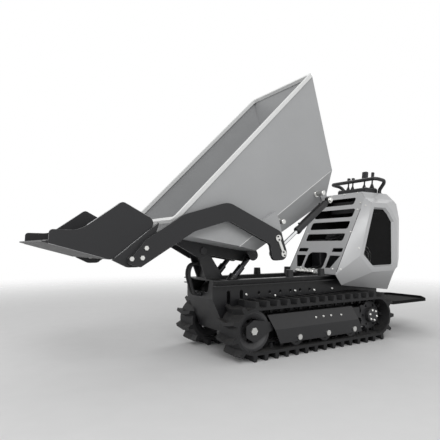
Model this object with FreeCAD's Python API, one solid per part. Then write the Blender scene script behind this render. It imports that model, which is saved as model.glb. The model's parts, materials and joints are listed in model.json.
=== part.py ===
import FreeCAD, Part
import math
import os
from FreeCAD import Vector, Rotation, Placement

# Self-loading tracked power carrier: two rubber tracks, a chassis with a front pivot stand,
# a forward-tipping skip with a loader bucket on two bent arms, an engine housing with moulded
# side covers, hand controls and a folding operator platform.
# Frame: X forward, Y to the machine's left, Z up, origin on the ground under the middle.

# Rubber tracks
lug_pitch = 80.5
lug_count = 37
sprocket_teeth = 10
belt_thickness = 16.0
lug_height = 36.0
lug_thickness = 32.0
lug_tip_thickness = 20.0
lug_sweep = 16.0
lug_root = 4.5
track_width = 180.0
track_middle_y = 260.0
horn_height = 28.0
horn_length = 26.0
horn_width = 12.0
horn_gap = 32.0
horn_tip_length = 16.0
idler_x = 357.0

# Wheels and rollers inside the tracks
wheel_clearance = 0.6
running_fit = 0.08
seat_gap = 0.3
tread_width = 24.0
tread_gap = 6.4
wheel_groove = 31.0
wheel_web = 14.0
wheel_rim = 17.0
wheel_hub_radius = 36.0
wheel_window_radius = 15.0
wheel_window_count = 6
roller_radius = 55.0
roller_hub_radius = 21.0
roller_count = 3
roller_pitch = 248.5
first_roller_x = 20.0
axle_radius = 13.0
axle_head_radius = 17.0
axle_head_height = 6.5
sprocket_width = 24.0
sprocket_hub_radius = 52.0
sprocket_hub_height = 36.0
tooth_depth = 24.0
motor_radius = 46.0
motor_spigot_radius = 30.0
motor_flange_radius = 60.0
motor_flange_thickness = 12.0
motor_neck_radius = 38.0
motor_neck_length = 12.0

# Track frames, idler brackets and guards
beam_width = 84.0
beam_height = 74.0
beam_wall = 6.0
beam_roller_gap = 5.0
beam_end_gap = 22.0
hanger_plate = 6.0
hanger_shelf = 38.0
hanger_y = 66.0
hanger_drop = 24.0
cross_tube_radius = 24.0
cross_tube_wall = 5.0
cross_tube_x = (150.0, -440.0)
guard_thickness = 5.0
guard_outer_y = 83.0
guard_shoulder_y = 58.0
guard_fold_height = 168.0
guard_bottom_height = 84.0
guard_top_height = 252.0
guard_flange = 14.0
guard_front_top = 252.0
guard_front_foot = 176.0
guard_rear_top = -489.0
guard_rear_foot = -556.0
bracket_plate = 5.0
bracket_y = 61.0
bracket_radius = 64.0
bracket_tail_height = 44.0
bracket_spacer = 16.0

# Chassis
chassis_half_width = 158.0
side_plate = 8.0
rail_outer_y = 205.0
rail_top = 465.0
rail_height = 37.0
rail_wall = 6.0
chassis_front_x = 541.0
chassis_rear_x = -960.0
chassis_rear_cut = 55.0
belly_height = 142.0
prow_top = 350.0
prow_foot_x = 440.0
deck_thickness = 8.0
front_plate_thickness = 12.0
front_notch_half = 128.0
front_notch_depth = 78.0
front_notch_draft = 30.0
slot_width = 26.0
slot_height = 86.0
slot_top = 397.0
slot_pitch = 97.0
first_slot_x = 425.0
side_hole_radius = 11.0
side_hole_pitch = 88.0
side_hole_count = 6
side_hole_z = 372.0
first_hole_x = 190.0
front_deck_length = 77.0
stand_foot_half = 62.0
middle_plate_x = -380.0
engine_deck_x = -385.0
buffer_radius = 26.0
buffer_x = (-50.0, -341.0)

# Pivot stand and tipping skip
pivot_x = 555.0
pivot_z = 640.0
tip_angle = 28.0
stand_plate = 12.0
stand_gap = 92.0
stand_base_front = 528.0
stand_base_rear = 398.0
stand_head_radius = 38.0
pivot_pin_radius = 20.0
skip_half_width = 322.0
skip_sheet = 4.0
skip_floor_drop = 127.0
skip_floor_front = 243.0
skip_floor_length = 737.0
skip_rear_height = 828.0
skip_rear_lean = 179.0
skip_lip_reach = 199.0
skip_lip_height = 418.0
skip_lip_face = 100.0
skip_lip_lean = 23.0
skip_bend_rear = 201.0
skip_bend_front = 103.0
skip_taper = 0.64
rim_width = 24.0
rim_depth = 22.0
rim_corner = 30.0
peg_radius = 13.0
peg_length = 40.0
peg_places_share = ((0.612, 0.283), (1.153, 0.16))
cradle_plate = 12.0
cradle_gap = 4.0
cradle_length = 120.0
cradle_depth = 26.0
cradle_nose_depth = 46.0
cradle_beam_radius = 16.0
lift_back = 281.0
lift_drop = 181.0
lift_boss_radius = 34.0
lift_pin_radius = 15.0

# Loader arms, measured from the arm pivot
arm_pivot_back = 341.6
arm_pivot_drop = 94.5
crank_length = 101.6
crank_lean = 4.2
arm_inner_y = 352.0
arm_thickness = 22.0
arm_reach = 947.0
arm_pin_radius = 15.0
arm_pin_collar_radius = 21.0
arm_pin_stop = 6.0
keeper_thickness = 5.0
keeper_radius = 20.0
keeper_waist = 9.0
pivot_cheek_radius = 46.0
bolt_radius = 10.0
bolt_head_radius = 16.0
bolt_head = 9.0

# Bucket
bucket_half_width = 340.0
bucket_sheet = 6.0
bucket_side = 8.0
bucket_reach_share = 1.0675818
bucket_drop_share = 0.1214361
bucket_reach = arm_reach * bucket_reach_share
bucket_drop = arm_reach * bucket_drop_share
bucket_bend = 34.0
bucket_floor_length = 333.0
bucket_back_length = 308.0
bucket_top_length = 216.0
bucket_peak_drop = 96.0
bucket_side_setback = 30.0
bucket_floor_slope = 15.5
bucket_back_slope = 37.9
bucket_top_slope = 27.5
blade_thickness = 14.0
blade_length = 74.0
lug_plate = 18.0

# Hydraulic cylinders
loader_cylinder_y = 282.0
loader_anchor_back = 930.0
loader_anchor_drop = 105.0
loader_barrel_radius = 26.0
loader_barrel_wall = 4.5
loader_rod_radius = 12.0
loader_rod_length = 378.0
loader_barrel_length = 325.0
loader_eye_radius = 25.0
tip_cylinder_y = 109.0
tip_anchor_x = 480.0
tip_anchor_z = 345.0
tip_closed_reach = 235.0
tip_barrel_radius = 29.0
tip_sleeve_radius = 23.0
tip_rod_radius = 16.0
tip_tube_wall = 4.0
tip_barrel_length = 150.0
tip_sleeve_length = 150.0
open_pivot_gap = 14.0
tip_rod_length = 180.0
tip_eye_radius = 23.0
eye_width = 26.0
gland_length = 20.0
gland_lip = 4.0
clevis_plate = 8.0
clevis_clearance = 3.0

# Engine housing
housing_wall = 5.0
housing_half_width = 305.0
cover_base_y = 245.0
housing_length = 728.0
housing_height = 744.0
housing_front_x = -412.0
housing_bottom_z = 340.0
grille_foot_z = 470.0
grille_top_gap = 0.6076
grille_lean = 30.1
grille_rise = housing_bottom_z + housing_height - grille_top_gap - grille_foot_z
grille_length = grille_rise / math.cos(math.radians(grille_lean))
grille_sheet = 5.0
window_rib = 34.0
window_bevel = 12.0
window_depth = 18.0
mesh_thickness = 3.0
hood_half_flat = 190.0
rear_sheet = 4.0
louvre_count = 7
louvre_height = 14.0
louvre_half_width = 170.0

# Machinery under the housing
engine_length = 260.0
engine_width = 270.0
engine_height = 190.0
engine_x = -790.0
engine_y = 20.0
engine_foot = 30.0
cylinder_radius = 62.0
cylinder_height = 150.0
fin_count = 5
fin_thickness = 5.0
fin_overhang = 14.0
starter_radius = 92.0
starter_depth = 46.0
starter_rib_count = 12
starter_rib_width = 7.0
starter_rib_depth = 5.0
tank_length = 230.0
tank_width = 340.0
tank_height = 92.0
tank_drop = 62.0
cap_radius = 32.0
cap_height = 22.0
oil_tank_length = 300.0
oil_tank_width = 104.0
oil_tank_height = 260.0
valve_radius = 17.0
valve_length = 190.0
muffler_radius = 48.0
muffler_length = 190.0

# Controls
console_length = 150.0
console_width = 300.0
console_height = 46.0
console_x = -945.0
console_corner = 22.0
console_wall = 4.0
handlebar_radius = 14.0
handlebar_half = 226.0
handlebar_foot_half = 168.0
handlebar_foot_rise = 30.0
handlebar_height = 96.0
handlebar_reach = 118.0
handlebar_rise = 12.0
handlebar_bend = 36.0
handlebar_x = -1008.0
lever_hub_radius = 11.0
lever_hub_length = 14.0
lever_pin_radius = 5.0
lever_pin_drop = 26.0
lever_slot_width = 16.0
lever_slot_length = 42.0
lever_radius = 6.0
lever_length = 104.0
lever_lean = 8.0
lever_x = -968.0
grip_round = 4.0
lever_table = {"right_drive_lever": (-118.0, 22.0, 22.0, 36.0),
               "left_drive_lever": (-72.0, 22.0, 22.0, 32.0),
               "skip_lever": (48.0, 30.0, 42.0, 68.0), "loader_lever": (124.0, 20.0, 20.0, 54.0)}

# Operator platform
platform_hinge_x = -986.0
platform_hinge_z = 232.0
platform_half_width = 270.0
platform_length = 555.0
platform_gap = 22.0
platform_plate = 5.0
platform_rim = 24.0
platform_corner = 115.0
hinge_pin_radius = 8.0
hinge_barrel_radius = 15.0
knuckle_inner_y = 66.0
knuckle_length = 64.0
hinge_lug = 9.0

# Hoses and overrun for cuts
hose_radius = 9.0
hose_spread = 34.0
cut_over = 1.0

# Outlines as shares of a leading size, first across and then up
arm_top_shares = ((1.0, -0.139), (0.898, -0.018), (0.674, 0.125), (0.375, 0.211), (-0.025, 0.042))
arm_low_shares = ((-0.089, -0.135), (0.042, -0.143), (0.063, -0.038), (0.374, 0.1), (0.605, 0.033),
                  (0.924, -0.16))
arm_round_shares = (0.012, 0.012, 0.12, 0.11, 0.045, 0.045, 0.035, 0.025, 0.09, 0.12, 0.012)
arm_bolt_shares = ((0.896, -0.06), (0.918, -0.111), (0.976, -0.115))
bucket_side_shares = ((1.286, 0.03), (1.152, 0.028))
bucket_lug_shares = ((0.925, -0.15), (0.86, -0.15), (0.8, -0.055))
cradle_ramp_share = 0.92
cover_base_shares = ((0, 0.175), (0.446, 0.927), (0.905, 0.927), (0.96, 0.887), (1, 0.734),
                     (0.978, 0.315), (0.773, 0), (0.08, 0.074))
cover_face_shares = ((0.258, 0.349), (0.452, 0.874), (0.677, 0.875), (0.76, 0.813), (0.845, 0.71),
                     (0.835, 0.231), (0.773, 0.196), (0.444, 0.191))
grille_outline_shares = ((1, 0), (1, 0.78), (0.74, 0.93), (0.62, 1))
grille_slot_shares = ((0.66, 0.84, 0.93), (0.8, 0.68, 0.785), (0.79, 0.535, 0.63), (0.78, 0.39, 0.48))
grille_low_share = (0.4, 0.05, 0.25)
grille_small_shares = (0.51, 0.92, 0.256, 0.303)
grille_side_shares = ((0.5, 0.07), (0.5, 0.215), (0.92, 0.215), (0.7, 0.07))
bucket_side_round_share = 0.12
sleeve_share = 0.52
case_share = 0.42
hose_loop_reach = 45.0
hose_loop_drop = 20.0
hose_run_share = 0.45
hose_top_share = 0.63

# Derived track geometry
neutral_radius = sprocket_teeth * lug_pitch / (2 * math.pi)
belt_inner = neutral_radius - belt_thickness / 2
belt_outer = neutral_radius + belt_thickness / 2
wheel_z = belt_outer + lug_height
sprocket_x = idler_x - (lug_count - sprocket_teeth) * lug_pitch / 2
wheel_radius = belt_inner - wheel_clearance
roller_z = wheel_z - belt_inner + wheel_clearance + roller_radius
roller_places = [first_roller_x - i * roller_pitch for i in range(roller_count)]
rim_inner_y = horn_gap / 2 + horn_width + tread_gap
rim_outer_y = rim_inner_y + tread_width
beam_bottom = roller_z + roller_radius + beam_roller_gap
beam_front_x = idler_x - wheel_radius - beam_end_gap
beam_rear_x = sprocket_x + wheel_radius + beam_end_gap
cross_tube_z = beam_bottom + beam_height / 2

# Derived places of the skip, the arms and the bucket
floor_rear = -skip_floor_front - skip_floor_length
rear_top = (floor_rear - skip_rear_lean, skip_rear_height - skip_floor_drop)
lip_foot = (skip_lip_reach - skip_lip_lean, skip_lip_height - skip_floor_drop - skip_lip_face)
lip_top = (skip_lip_reach, skip_lip_height - skip_floor_drop)
ramp_x = lip_foot[0] + skip_floor_front
ramp_z = lip_foot[1] + skip_floor_drop
bend_rear = (floor_rear - skip_rear_lean * skip_bend_rear / skip_rear_height,
             skip_bend_rear - skip_floor_drop)
bend_front = (ramp_x * skip_bend_front / ramp_z - skip_floor_front, skip_bend_front - skip_floor_drop)
tip_place = Placement(Vector(pivot_x, 0, pivot_z), Rotation(Vector(0, 1, 0), tip_angle))


def point(x, y, z):
    return Vector(x, y, z)


def skip_world(x, z):
    """World (x, z) of a point given in the lowered skip's own axes from the tipping pivot."""
    placed = tip_place.multVec(point(x, 0, z))
    return placed.x, placed.z


arm_pivot = skip_world(-arm_pivot_back, -arm_pivot_drop)
crank_pin = skip_world(-arm_pivot_back + crank_length * math.sin(math.radians(crank_lean)),
                       -arm_pivot_drop - crank_length * math.cos(math.radians(crank_lean)))
loader_anchor = skip_world(-loader_anchor_back, -loader_anchor_drop)
lift_point = skip_world(-lift_back, -lift_drop)


def corner_arcs(points, radii, closed=True):
    """Edges of a polygon in any plane whose corners are rounded by the given radii."""
    n = len(points)
    if not isinstance(radii, (list, tuple)):
        radii = [radii] * n
    entry, leave, middle = [], [], []
    for i, here in enumerate(points):
        radius = radii[i]
        if radius <= 0 or (not closed and i in (0, n - 1)):
            entry.append(here)
            leave.append(here)
            middle.append(None)
            continue
        before = (points[i - 1] - here).normalize()
        after = (points[(i + 1) % n] - here).normalize()
        half = before.getAngle(after) / 2
        trim = radius / math.tan(half)
        bisector = (before + after).normalize()
        centre = here + bisector * (radius / math.sin(half))
        entry.append(here + before * trim)
        leave.append(here + after * trim)
        middle.append(centre - bisector * radius)
    edges = []
    for i in range(n if closed else n - 1):
        j = (i + 1) % n
        if middle[i] is not None:
            edges.append(Part.Arc(entry[i], middle[i], leave[i]).toShape())
        if leave[i].distanceToPoint(entry[j]) > 1e-6:
            edges.append(Part.LineSegment(leave[i], entry[j]).toShape())
    return edges


def outline(points, radii=0):
    return Part.Wire(corner_arcs(points, radii))


def side_solid(profile, y0, y1, radii=0):
    """Solid with an XZ outline between two Y planes."""
    face = Part.Face(outline([point(x, y0, z) for x, z in profile], radii))
    return face.extrude(point(0, y1 - y0, 0))


def cross_solid(profile, x0, x1, radii=0):
    """Solid with a YZ outline between two X planes."""
    face = Part.Face(outline([point(x0, y, z) for y, z in profile], radii))
    return face.extrude(point(x1 - x0, 0, 0))


def flat_solid(profile, z0, z1, radii=0):
    """Solid with an XY outline between two Z planes."""
    face = Part.Face(outline([point(x, y, z0) for x, y in profile], radii))
    return face.extrude(point(0, 0, z1 - z0))


def side_loft(start, y0, end, y1):
    """Ruled loft between two XZ outlines of as many points."""
    rings = [Part.makePolygon([point(x, y, z) for x, z in ring] + [point(ring[0][0], y, ring[0][1])])
             for ring, y in ((start, y0), (end, y1))]
    return Part.makeLoft(rings, True, True)


def block(x0, x1, y0, y1, z0, z1):
    return Part.makeBox(x1 - x0, y1 - y0, z1 - z0, point(x0, y0, z0))


def rod_y(x, z, radius, y0, y1):
    return Part.makeCylinder(radius, y1 - y0, point(x, y0, z), point(0, 1, 0))


def bore_y(x, z, radius, y0, y1):
    return rod_y(x, z, radius, y0 - cut_over, y1 + cut_over)


def ring_y(x, z, outer, inner, y0, y1):
    return rod_y(x, z, outer, y0, y1).cut(bore_y(x, z, inner, y0, y1))


def rod_between(start, end, radius):
    reach = end - start
    return Part.makeCylinder(radius, reach.Length, start, reach)


def tube_path(points, radius, bend):
    """Round bar along straight runs joined by tangent arcs."""
    path = Part.Wire(corner_arcs(points, bend, closed=False))
    start = points[1] - points[0]
    ring = Part.Wire(Part.makeCircle(radius, points[0], start))
    return path.makePipeShell([ring], True, True)


def bend_radii(points):
    """Radius at each inner corner of a hose, as large as its two runs allow."""
    radii = [0]
    for before, here, after in zip(points, points[1:], points[2:]):
        turn = (here - before).getAngle(after - here)
        run = min((here - before).Length, (after - here).Length)
        radii.append(hose_run_share * run / math.tan(turn / 2))
    return radii + [0]


def turned_y(profile, x, z, y_middle):
    """Solid turned about a Y line from a closed outline of (y, radius) points."""
    face = Part.Face(outline([point(x, y_middle + y, z + r) for y, r in profile]))
    return face.revolve(point(x, y_middle, z), point(0, 1, 0), 360)


def other_side(shape):
    return shape.mirror(point(0, 0, 0), point(0, 1, 0))


def both_sides(shapes):
    return list(shapes) + [other_side(shape) for shape in shapes]


def hex_head(x, z, radius, y0, y1):
    """Six-sided bolt head lying along Y; the radius reaches its corners."""
    turns = [k * math.pi / 3 for k in range(6)]
    return side_solid([(x + radius * math.cos(a), z + radius * math.sin(a)) for a in turns], y0, y1)


def one(shapes):
    body = shapes[0].multiFuse(list(shapes[1:])) if len(shapes) > 1 else shapes[0]
    return body.removeSplitter()


def without(shape, tools):
    return shape.cut(Part.makeCompound(tools))


def shifted_line(points, distance):
    """Open line of (a, b) points moved to its left by a distance, with mitred corners."""
    normals = []
    for (a0, b0), (a1, b1) in zip(points, points[1:]):
        length = math.hypot(a1 - a0, b1 - b0)
        normals.append(((b0 - b1) / length, (a1 - a0) / length))
    moved = []
    for i, (a, b) in enumerate(points):
        n0 = normals[max(i - 1, 0)]
        n1 = normals[min(i, len(normals) - 1)]
        k = distance / (1 + n0[0] * n1[0] + n0[1] * n1[1])
        moved.append((a + k * (n0[0] + n1[0]), b + k * (n0[1] + n1[1])))
    return moved


def strip(points, thickness):
    """Closed outline of a bent sheet whose other face lies to the left of the line."""
    return list(points) + shifted_line(points, thickness)[::-1]


def inset(points, distance):
    """Closed outline moved inward; the points run clockwise in (a, b)."""
    ring = [points[-1]] + list(points) + [points[0]]
    return shifted_line(ring, -distance)[1:-1]


def scaled(shares, size):
    return [(a * size, b * size) for a, b in shares]


def moved_by(points, x, z):
    return [(a + x, b + z) for a, b in points]


def track_place(travel):
    """Point and outward direction on the neutral line of the track, counted from below the idler."""
    run = idler_x - sprocket_x
    arc = math.pi * neutral_radius
    if travel < arc:
        angle = -math.pi / 2 + travel / neutral_radius
        centre = idler_x
    elif travel < arc + run:
        return idler_x - (travel - arc), wheel_z + neutral_radius, math.pi / 2
    elif travel < 2 * arc + run:
        angle = math.pi / 2 + (travel - arc - run) / neutral_radius
        centre = sprocket_x
    else:
        return sprocket_x + (travel - 2 * arc - run), wheel_z - neutral_radius, -math.pi / 2
    x = centre + neutral_radius * math.cos(angle)
    return x, wheel_z + neutral_radius * math.sin(angle), angle


def lug_form():
    """Chevron tread lug lying along +X of its own frame, with +Z pointing out of the belt."""
    half = track_width / 2
    rings = []
    for thickness, level in ((lug_thickness, belt_thickness / 2 - lug_root),
                             (lug_tip_thickness, belt_thickness / 2 + lug_height)):
        t = thickness / 2
        s = lug_sweep / 2
        corners = [(t - s, -half), (t + s, 0), (t - s, half), (-t - s, half), (-t + s, 0), (-t - s, -half)]
        ring = [point(x, y, level) for x, y in corners]
        rings.append(Part.makePolygon(ring + [ring[0]]))
    return Part.makeLoft(rings, True, True)


def horn_form():
    """Pair of tapered guide horns on the inside of the belt."""
    horns = []
    for side in (-1, 1):
        near = side * horn_gap / 2
        far = side * (horn_gap / 2 + horn_width)
        rings = []
        for length, level in ((horn_length, lug_root - belt_thickness / 2),
                              (horn_tip_length, -belt_thickness / 2 - horn_height)):
            ring = [point(-length / 2, near, level), point(length / 2, near, level),
                    point(length / 2, far, level), point(-length / 2, far, level)]
            rings.append(Part.makePolygon(ring + [ring[0]]))
        horns.append(Part.makeLoft(rings, True, True))
    return Part.makeCompound(horns)


def rubber_track():
    """Endless belt round idler and sprocket with chevron lugs outside and horns inside."""
    loops = []
    for radius, half in ((belt_outer, track_width / 2), (belt_inner, track_width / 2 + cut_over)):
        ends = [point(sprocket_x, -half, wheel_z + radius), point(idler_x, -half, wheel_z + radius),
                point(idler_x + radius, -half, wheel_z), point(idler_x, -half, wheel_z - radius),
                point(sprocket_x, -half, wheel_z - radius), point(sprocket_x - radius, -half, wheel_z)]
        wire = Part.Wire([Part.LineSegment(ends[0], ends[1]).toShape(),
                          Part.Arc(ends[1], ends[2], ends[3]).toShape(),
                          Part.LineSegment(ends[3], ends[4]).toShape(),
                          Part.Arc(ends[4], ends[5], ends[0]).toShape()])
        loops.append(Part.Face(wire).extrude(point(0, 2 * half, 0)))
    belt = loops[0].cut(loops[1])
    lug = lug_form()
    horn = horn_form()
    pieces = [belt]
    for k in range(lug_count):
        x, z, angle = track_place(k * lug_pitch)
        turn = Rotation(Vector(0, 1, 0), 90 - math.degrees(angle))
        for form in (lug, horn):
            copy = form.copy()
            copy.Placement = Placement(Vector(x, 0, z), turn)
            pieces += copy.Solids
    track = belt.multiFuse(pieces[1:])
    track.translate(point(0, track_middle_y, 0))
    return track


def idler():
    """Front idler: two treads that straddle the horns, a dished web with holes and a hub."""
    groove = wheel_radius - wheel_groove
    web_top = groove - wheel_rim
    hub_half = rim_outer_y
    step = rim_inner_y + tread_gap
    bore = axle_radius + running_fit
    half = [(0, groove), (rim_inner_y, groove), (rim_inner_y, wheel_radius), (rim_outer_y, wheel_radius),
            (rim_outer_y, wheel_radius - wheel_rim), (step, web_top), (wheel_web / 2, web_top),
            (wheel_web / 2, wheel_hub_radius), (hub_half, wheel_hub_radius), (hub_half, bore)]
    profile = half + [(-y, r) for y, r in half[::-1]][:-1]
    wheel = turned_y(profile, idler_x, wheel_z, track_middle_y)
    circle = (web_top + wheel_hub_radius) / 2
    holes = []
    for k in range(wheel_window_count):
        a = (2 * k + 1) * math.pi / wheel_window_count
        holes.append(bore_y(idler_x + circle * math.cos(a), wheel_z + circle * math.sin(a),
                            wheel_window_radius,
                            track_middle_y - wheel_web / 2, track_middle_y + wheel_web / 2))
    return without(wheel, holes)


def roller(x):
    """Bottom roller with two treads and a narrow middle that clears the horns."""
    bore = axle_radius + running_fit
    face = rim_outer_y
    cup = (roller_radius + roller_hub_radius) / 2
    half = [(0, roller_hub_radius), (rim_inner_y, roller_hub_radius), (rim_inner_y, roller_radius),
            (face, roller_radius), (face, cup), (face - tread_gap, cup - tread_gap / 2),
            (face - tread_gap, roller_hub_radius), (face, roller_hub_radius), (face, bore)]
    profile = half + [(-y, r) for y, r in half[::-1]][:-1]
    return turned_y(profile, x, roller_z, track_middle_y)


def sprocket():
    """Rear drive sprocket: toothed disc between the horns and a bolted hub on its outer side."""
    root = wheel_radius - tooth_depth
    profile = []
    radii = []
    for k in range(sprocket_teeth):
        middle = -math.pi / 2 + (k + 0.5) * 2 * math.pi / sprocket_teeth
        step = math.pi / sprocket_teeth
        for share, radius in ((-0.62, root), (-0.24, wheel_radius), (0.24, wheel_radius), (0.62, root)):
            profile.append((sprocket_x + radius * math.cos(middle + share * step),
                            wheel_z + radius * math.sin(middle + share * step)))
            radii.append(tooth_depth / 6)
    low = track_middle_y - sprocket_width / 2
    high = track_middle_y + sprocket_width / 2
    disc = side_solid(profile, low, high, radii)
    top = high + sprocket_hub_height
    hub = rod_y(sprocket_x, wheel_z, sprocket_hub_radius, high, top)
    hub = hub.makeChamfer(tooth_depth / 4, [e for e in hub.Edges if abs(e.BoundBox.YMin - top) < 1e-6])
    circle = (root + sprocket_hub_radius) / 2
    holes = [rod_y(sprocket_x, wheel_z, motor_spigot_radius + running_fit, low - cut_over, high)]
    for k in range(wheel_window_count):
        a = 2 * k * math.pi / wheel_window_count
        holes.append(bore_y(sprocket_x + circle * math.cos(a), wheel_z + circle * math.sin(a), bolt_radius,
                            low, high))
    return Part.makeCompound([without(disc, holes), hub])


def drive_motor():
    """Hydraulic drive motor on the chassis side with the spigot that carries the sprocket."""
    flange_end = chassis_half_width + motor_flange_thickness
    face = track_middle_y - sprocket_width / 2 - seat_gap
    neck = face - motor_neck_length
    end = track_middle_y + sprocket_width / 2 - seat_gap
    profile = [(chassis_half_width, 0), (chassis_half_width, motor_flange_radius),
               (flange_end, motor_flange_radius),
               (flange_end, motor_radius), (neck, motor_radius), (neck, motor_neck_radius),
               (face, motor_neck_radius),
               (face, motor_spigot_radius), (end, motor_spigot_radius), (end, 0)]
    return turned_y(profile, sprocket_x, wheel_z, 0)


def wheel_axles():
    """Fixed axles of the idler and the rollers with a head on the outer side."""
    axles = []
    inner = track_middle_y - hanger_y - hanger_plate
    outer = track_middle_y + guard_outer_y + guard_thickness
    for x in roller_places:
        rod = rod_y(x, roller_z, axle_radius, inner, outer)
        axles.append(rod.fuse(rod_y(x, roller_z, axle_head_radius, outer, outer + axle_head_height)))
    near = track_middle_y - bracket_y - bracket_plate
    far = track_middle_y + bracket_y + bracket_plate
    rod = rod_y(idler_x, wheel_z, axle_radius, near, far)
    axles.append(rod.fuse(hex_head(idler_x, wheel_z, axle_head_radius + axle_head_height, far,
                                   far + axle_head_height)))
    return axles


def track_frame():
    """Hollow track beam, its welded shelf and hanging plate, and two stub tubes to the chassis."""
    y = track_middle_y
    half = beam_width / 2
    beam = block(beam_rear_x, beam_front_x, y - half, y + half, beam_bottom, beam_bottom + beam_height)
    inside = block(beam_rear_x - cut_over, beam_front_x + cut_over, y - half + beam_wall,
                   y + half - beam_wall,
                   beam_bottom + beam_wall, beam_bottom + beam_height - beam_wall)
    shelf = beam_bottom + hanger_shelf
    wall = y - hanger_y
    plates = [block(beam_rear_x, beam_front_x, wall - hanger_plate, y - half, shelf - hanger_plate, shelf),
              block(beam_rear_x, beam_front_x, wall - hanger_plate, wall, roller_z - hanger_drop,
                    shelf - hanger_plate)]
    tubes = []
    holes = [bore_y(x, roller_z, axle_radius, wall - hanger_plate, wall) for x in roller_places]
    for x in cross_tube_x:
        tubes.append(ring_y(x, cross_tube_z, cross_tube_radius, cross_tube_radius - cross_tube_wall,
                            chassis_half_width, y - half))
        holes.append(bore_y(x, cross_tube_z, cross_tube_radius, wall - hanger_plate, y - half - cut_over))
    return Part.makeCompound([beam.cut(inside)] + [without(plate, holes) for plate in plates] + tubes)


def idler_bracket():
    """Fork of two six-sided plates round the idler axle on a spacer at the front of the beam."""
    y = track_middle_y
    turns = [math.pi / 6 + k * math.pi / 3 for k in (-2, -1, 0, 1)]
    nose = [(idler_x + bracket_radius * math.cos(a), wheel_z + bracket_radius * math.sin(a)) for a in turns]
    tail = [(beam_front_x, beam_bottom + bracket_tail_height), (beam_front_x, beam_bottom)]
    plates = [side_solid(nose + tail, y + side * bracket_y,
                         y + side * (bracket_y + bracket_plate)) for side in (-1, 1)]
    reach = bracket_y + bracket_plate
    spacer = block(beam_front_x, beam_front_x + bracket_spacer, y - reach, y + reach,
                   beam_bottom, beam_bottom + bracket_tail_height)
    hole = bore_y(idler_x, wheel_z, axle_radius, y - reach, y + reach)
    return without(one(plates + [spacer]), [hole])


def side_guard():
    """Bent outer guard: upright below the fold, leaning inward above it, trimmed at a slant."""
    y = track_middle_y
    line = [(y + guard_outer_y, guard_bottom_height), (y + guard_outer_y, guard_fold_height),
            (y + guard_shoulder_y, guard_top_height),
            (y + guard_shoulder_y - guard_flange, guard_top_height)]
    sheet = cross_solid(strip(line, -guard_thickness), guard_rear_foot, guard_front_top)
    over = guard_top_height + guard_flange
    front = (guard_front_top - guard_front_foot) / (guard_top_height - guard_bottom_height)
    rear = (guard_rear_top - guard_rear_foot) / (guard_top_height - guard_bottom_height)
    rise = over - guard_bottom_height
    trim = side_solid([(guard_rear_foot, guard_bottom_height), (guard_front_foot, guard_bottom_height),
                       (guard_front_foot + front * rise, over), (guard_rear_foot + rear * rise, over)],
                      y, y + track_width / 2)
    holes = [bore_y(x, roller_z, axle_radius, y + guard_outer_y,
                    y + guard_outer_y + guard_thickness) for x in roller_places]
    return without(sheet.common(trim), holes)


def chassis_sides():
    """Two chassis side plates with slots and holes, each under an outward channel rail."""
    outer = chassis_half_width
    inner = outer - side_plate
    plate = side_solid([(chassis_rear_x, belly_height + chassis_rear_cut), (chassis_rear_x, rail_top),
                        (chassis_front_x, rail_top), (chassis_front_x, prow_top),
                        (prow_foot_x, belly_height),
                        (chassis_rear_x + chassis_rear_cut, belly_height)], inner, outer)
    low = rail_top - rail_height
    rail = cross_solid([(outer, low), (rail_outer_y, low), (rail_outer_y, low + rail_wall),
                        (outer + rail_wall, low + rail_wall), (outer + rail_wall, rail_top - rail_wall),
                        (rail_outer_y, rail_top - rail_wall), (rail_outer_y, rail_top), (outer, rail_top)],
                       chassis_rear_x, chassis_front_x)
    cuts = []
    slot_radius = slot_width / 2
    for k in range(2):
        x = first_slot_x - k * slot_pitch
        corners = [(x - slot_radius, slot_top), (x + slot_radius, slot_top),
                   (x + slot_radius, slot_top - slot_height), (x - slot_radius, slot_top - slot_height)]
        cuts.append(side_solid(corners, inner - cut_over, outer + cut_over, slot_radius * 0.99))
    for k in range(side_hole_count):
        cuts.append(bore_y(first_hole_x - k * side_hole_pitch, side_hole_z, side_hole_radius, inner, outer))
    return both_sides([without(one([plate, rail]), cuts)])


def front_plate():
    """Upright front plate with a wide notch for the tipping cylinders."""
    half = chassis_half_width - side_plate
    low = rail_top - front_notch_depth
    foot = front_notch_half - front_notch_draft
    edge = [(-half, prow_top), (-half, rail_top), (-front_notch_half, rail_top), (-foot, low),
            (foot, low), (front_notch_half, rail_top), (half, rail_top), (half, prow_top)]
    return cross_solid(edge, chassis_front_x - front_plate_thickness, chassis_front_x)


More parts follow.
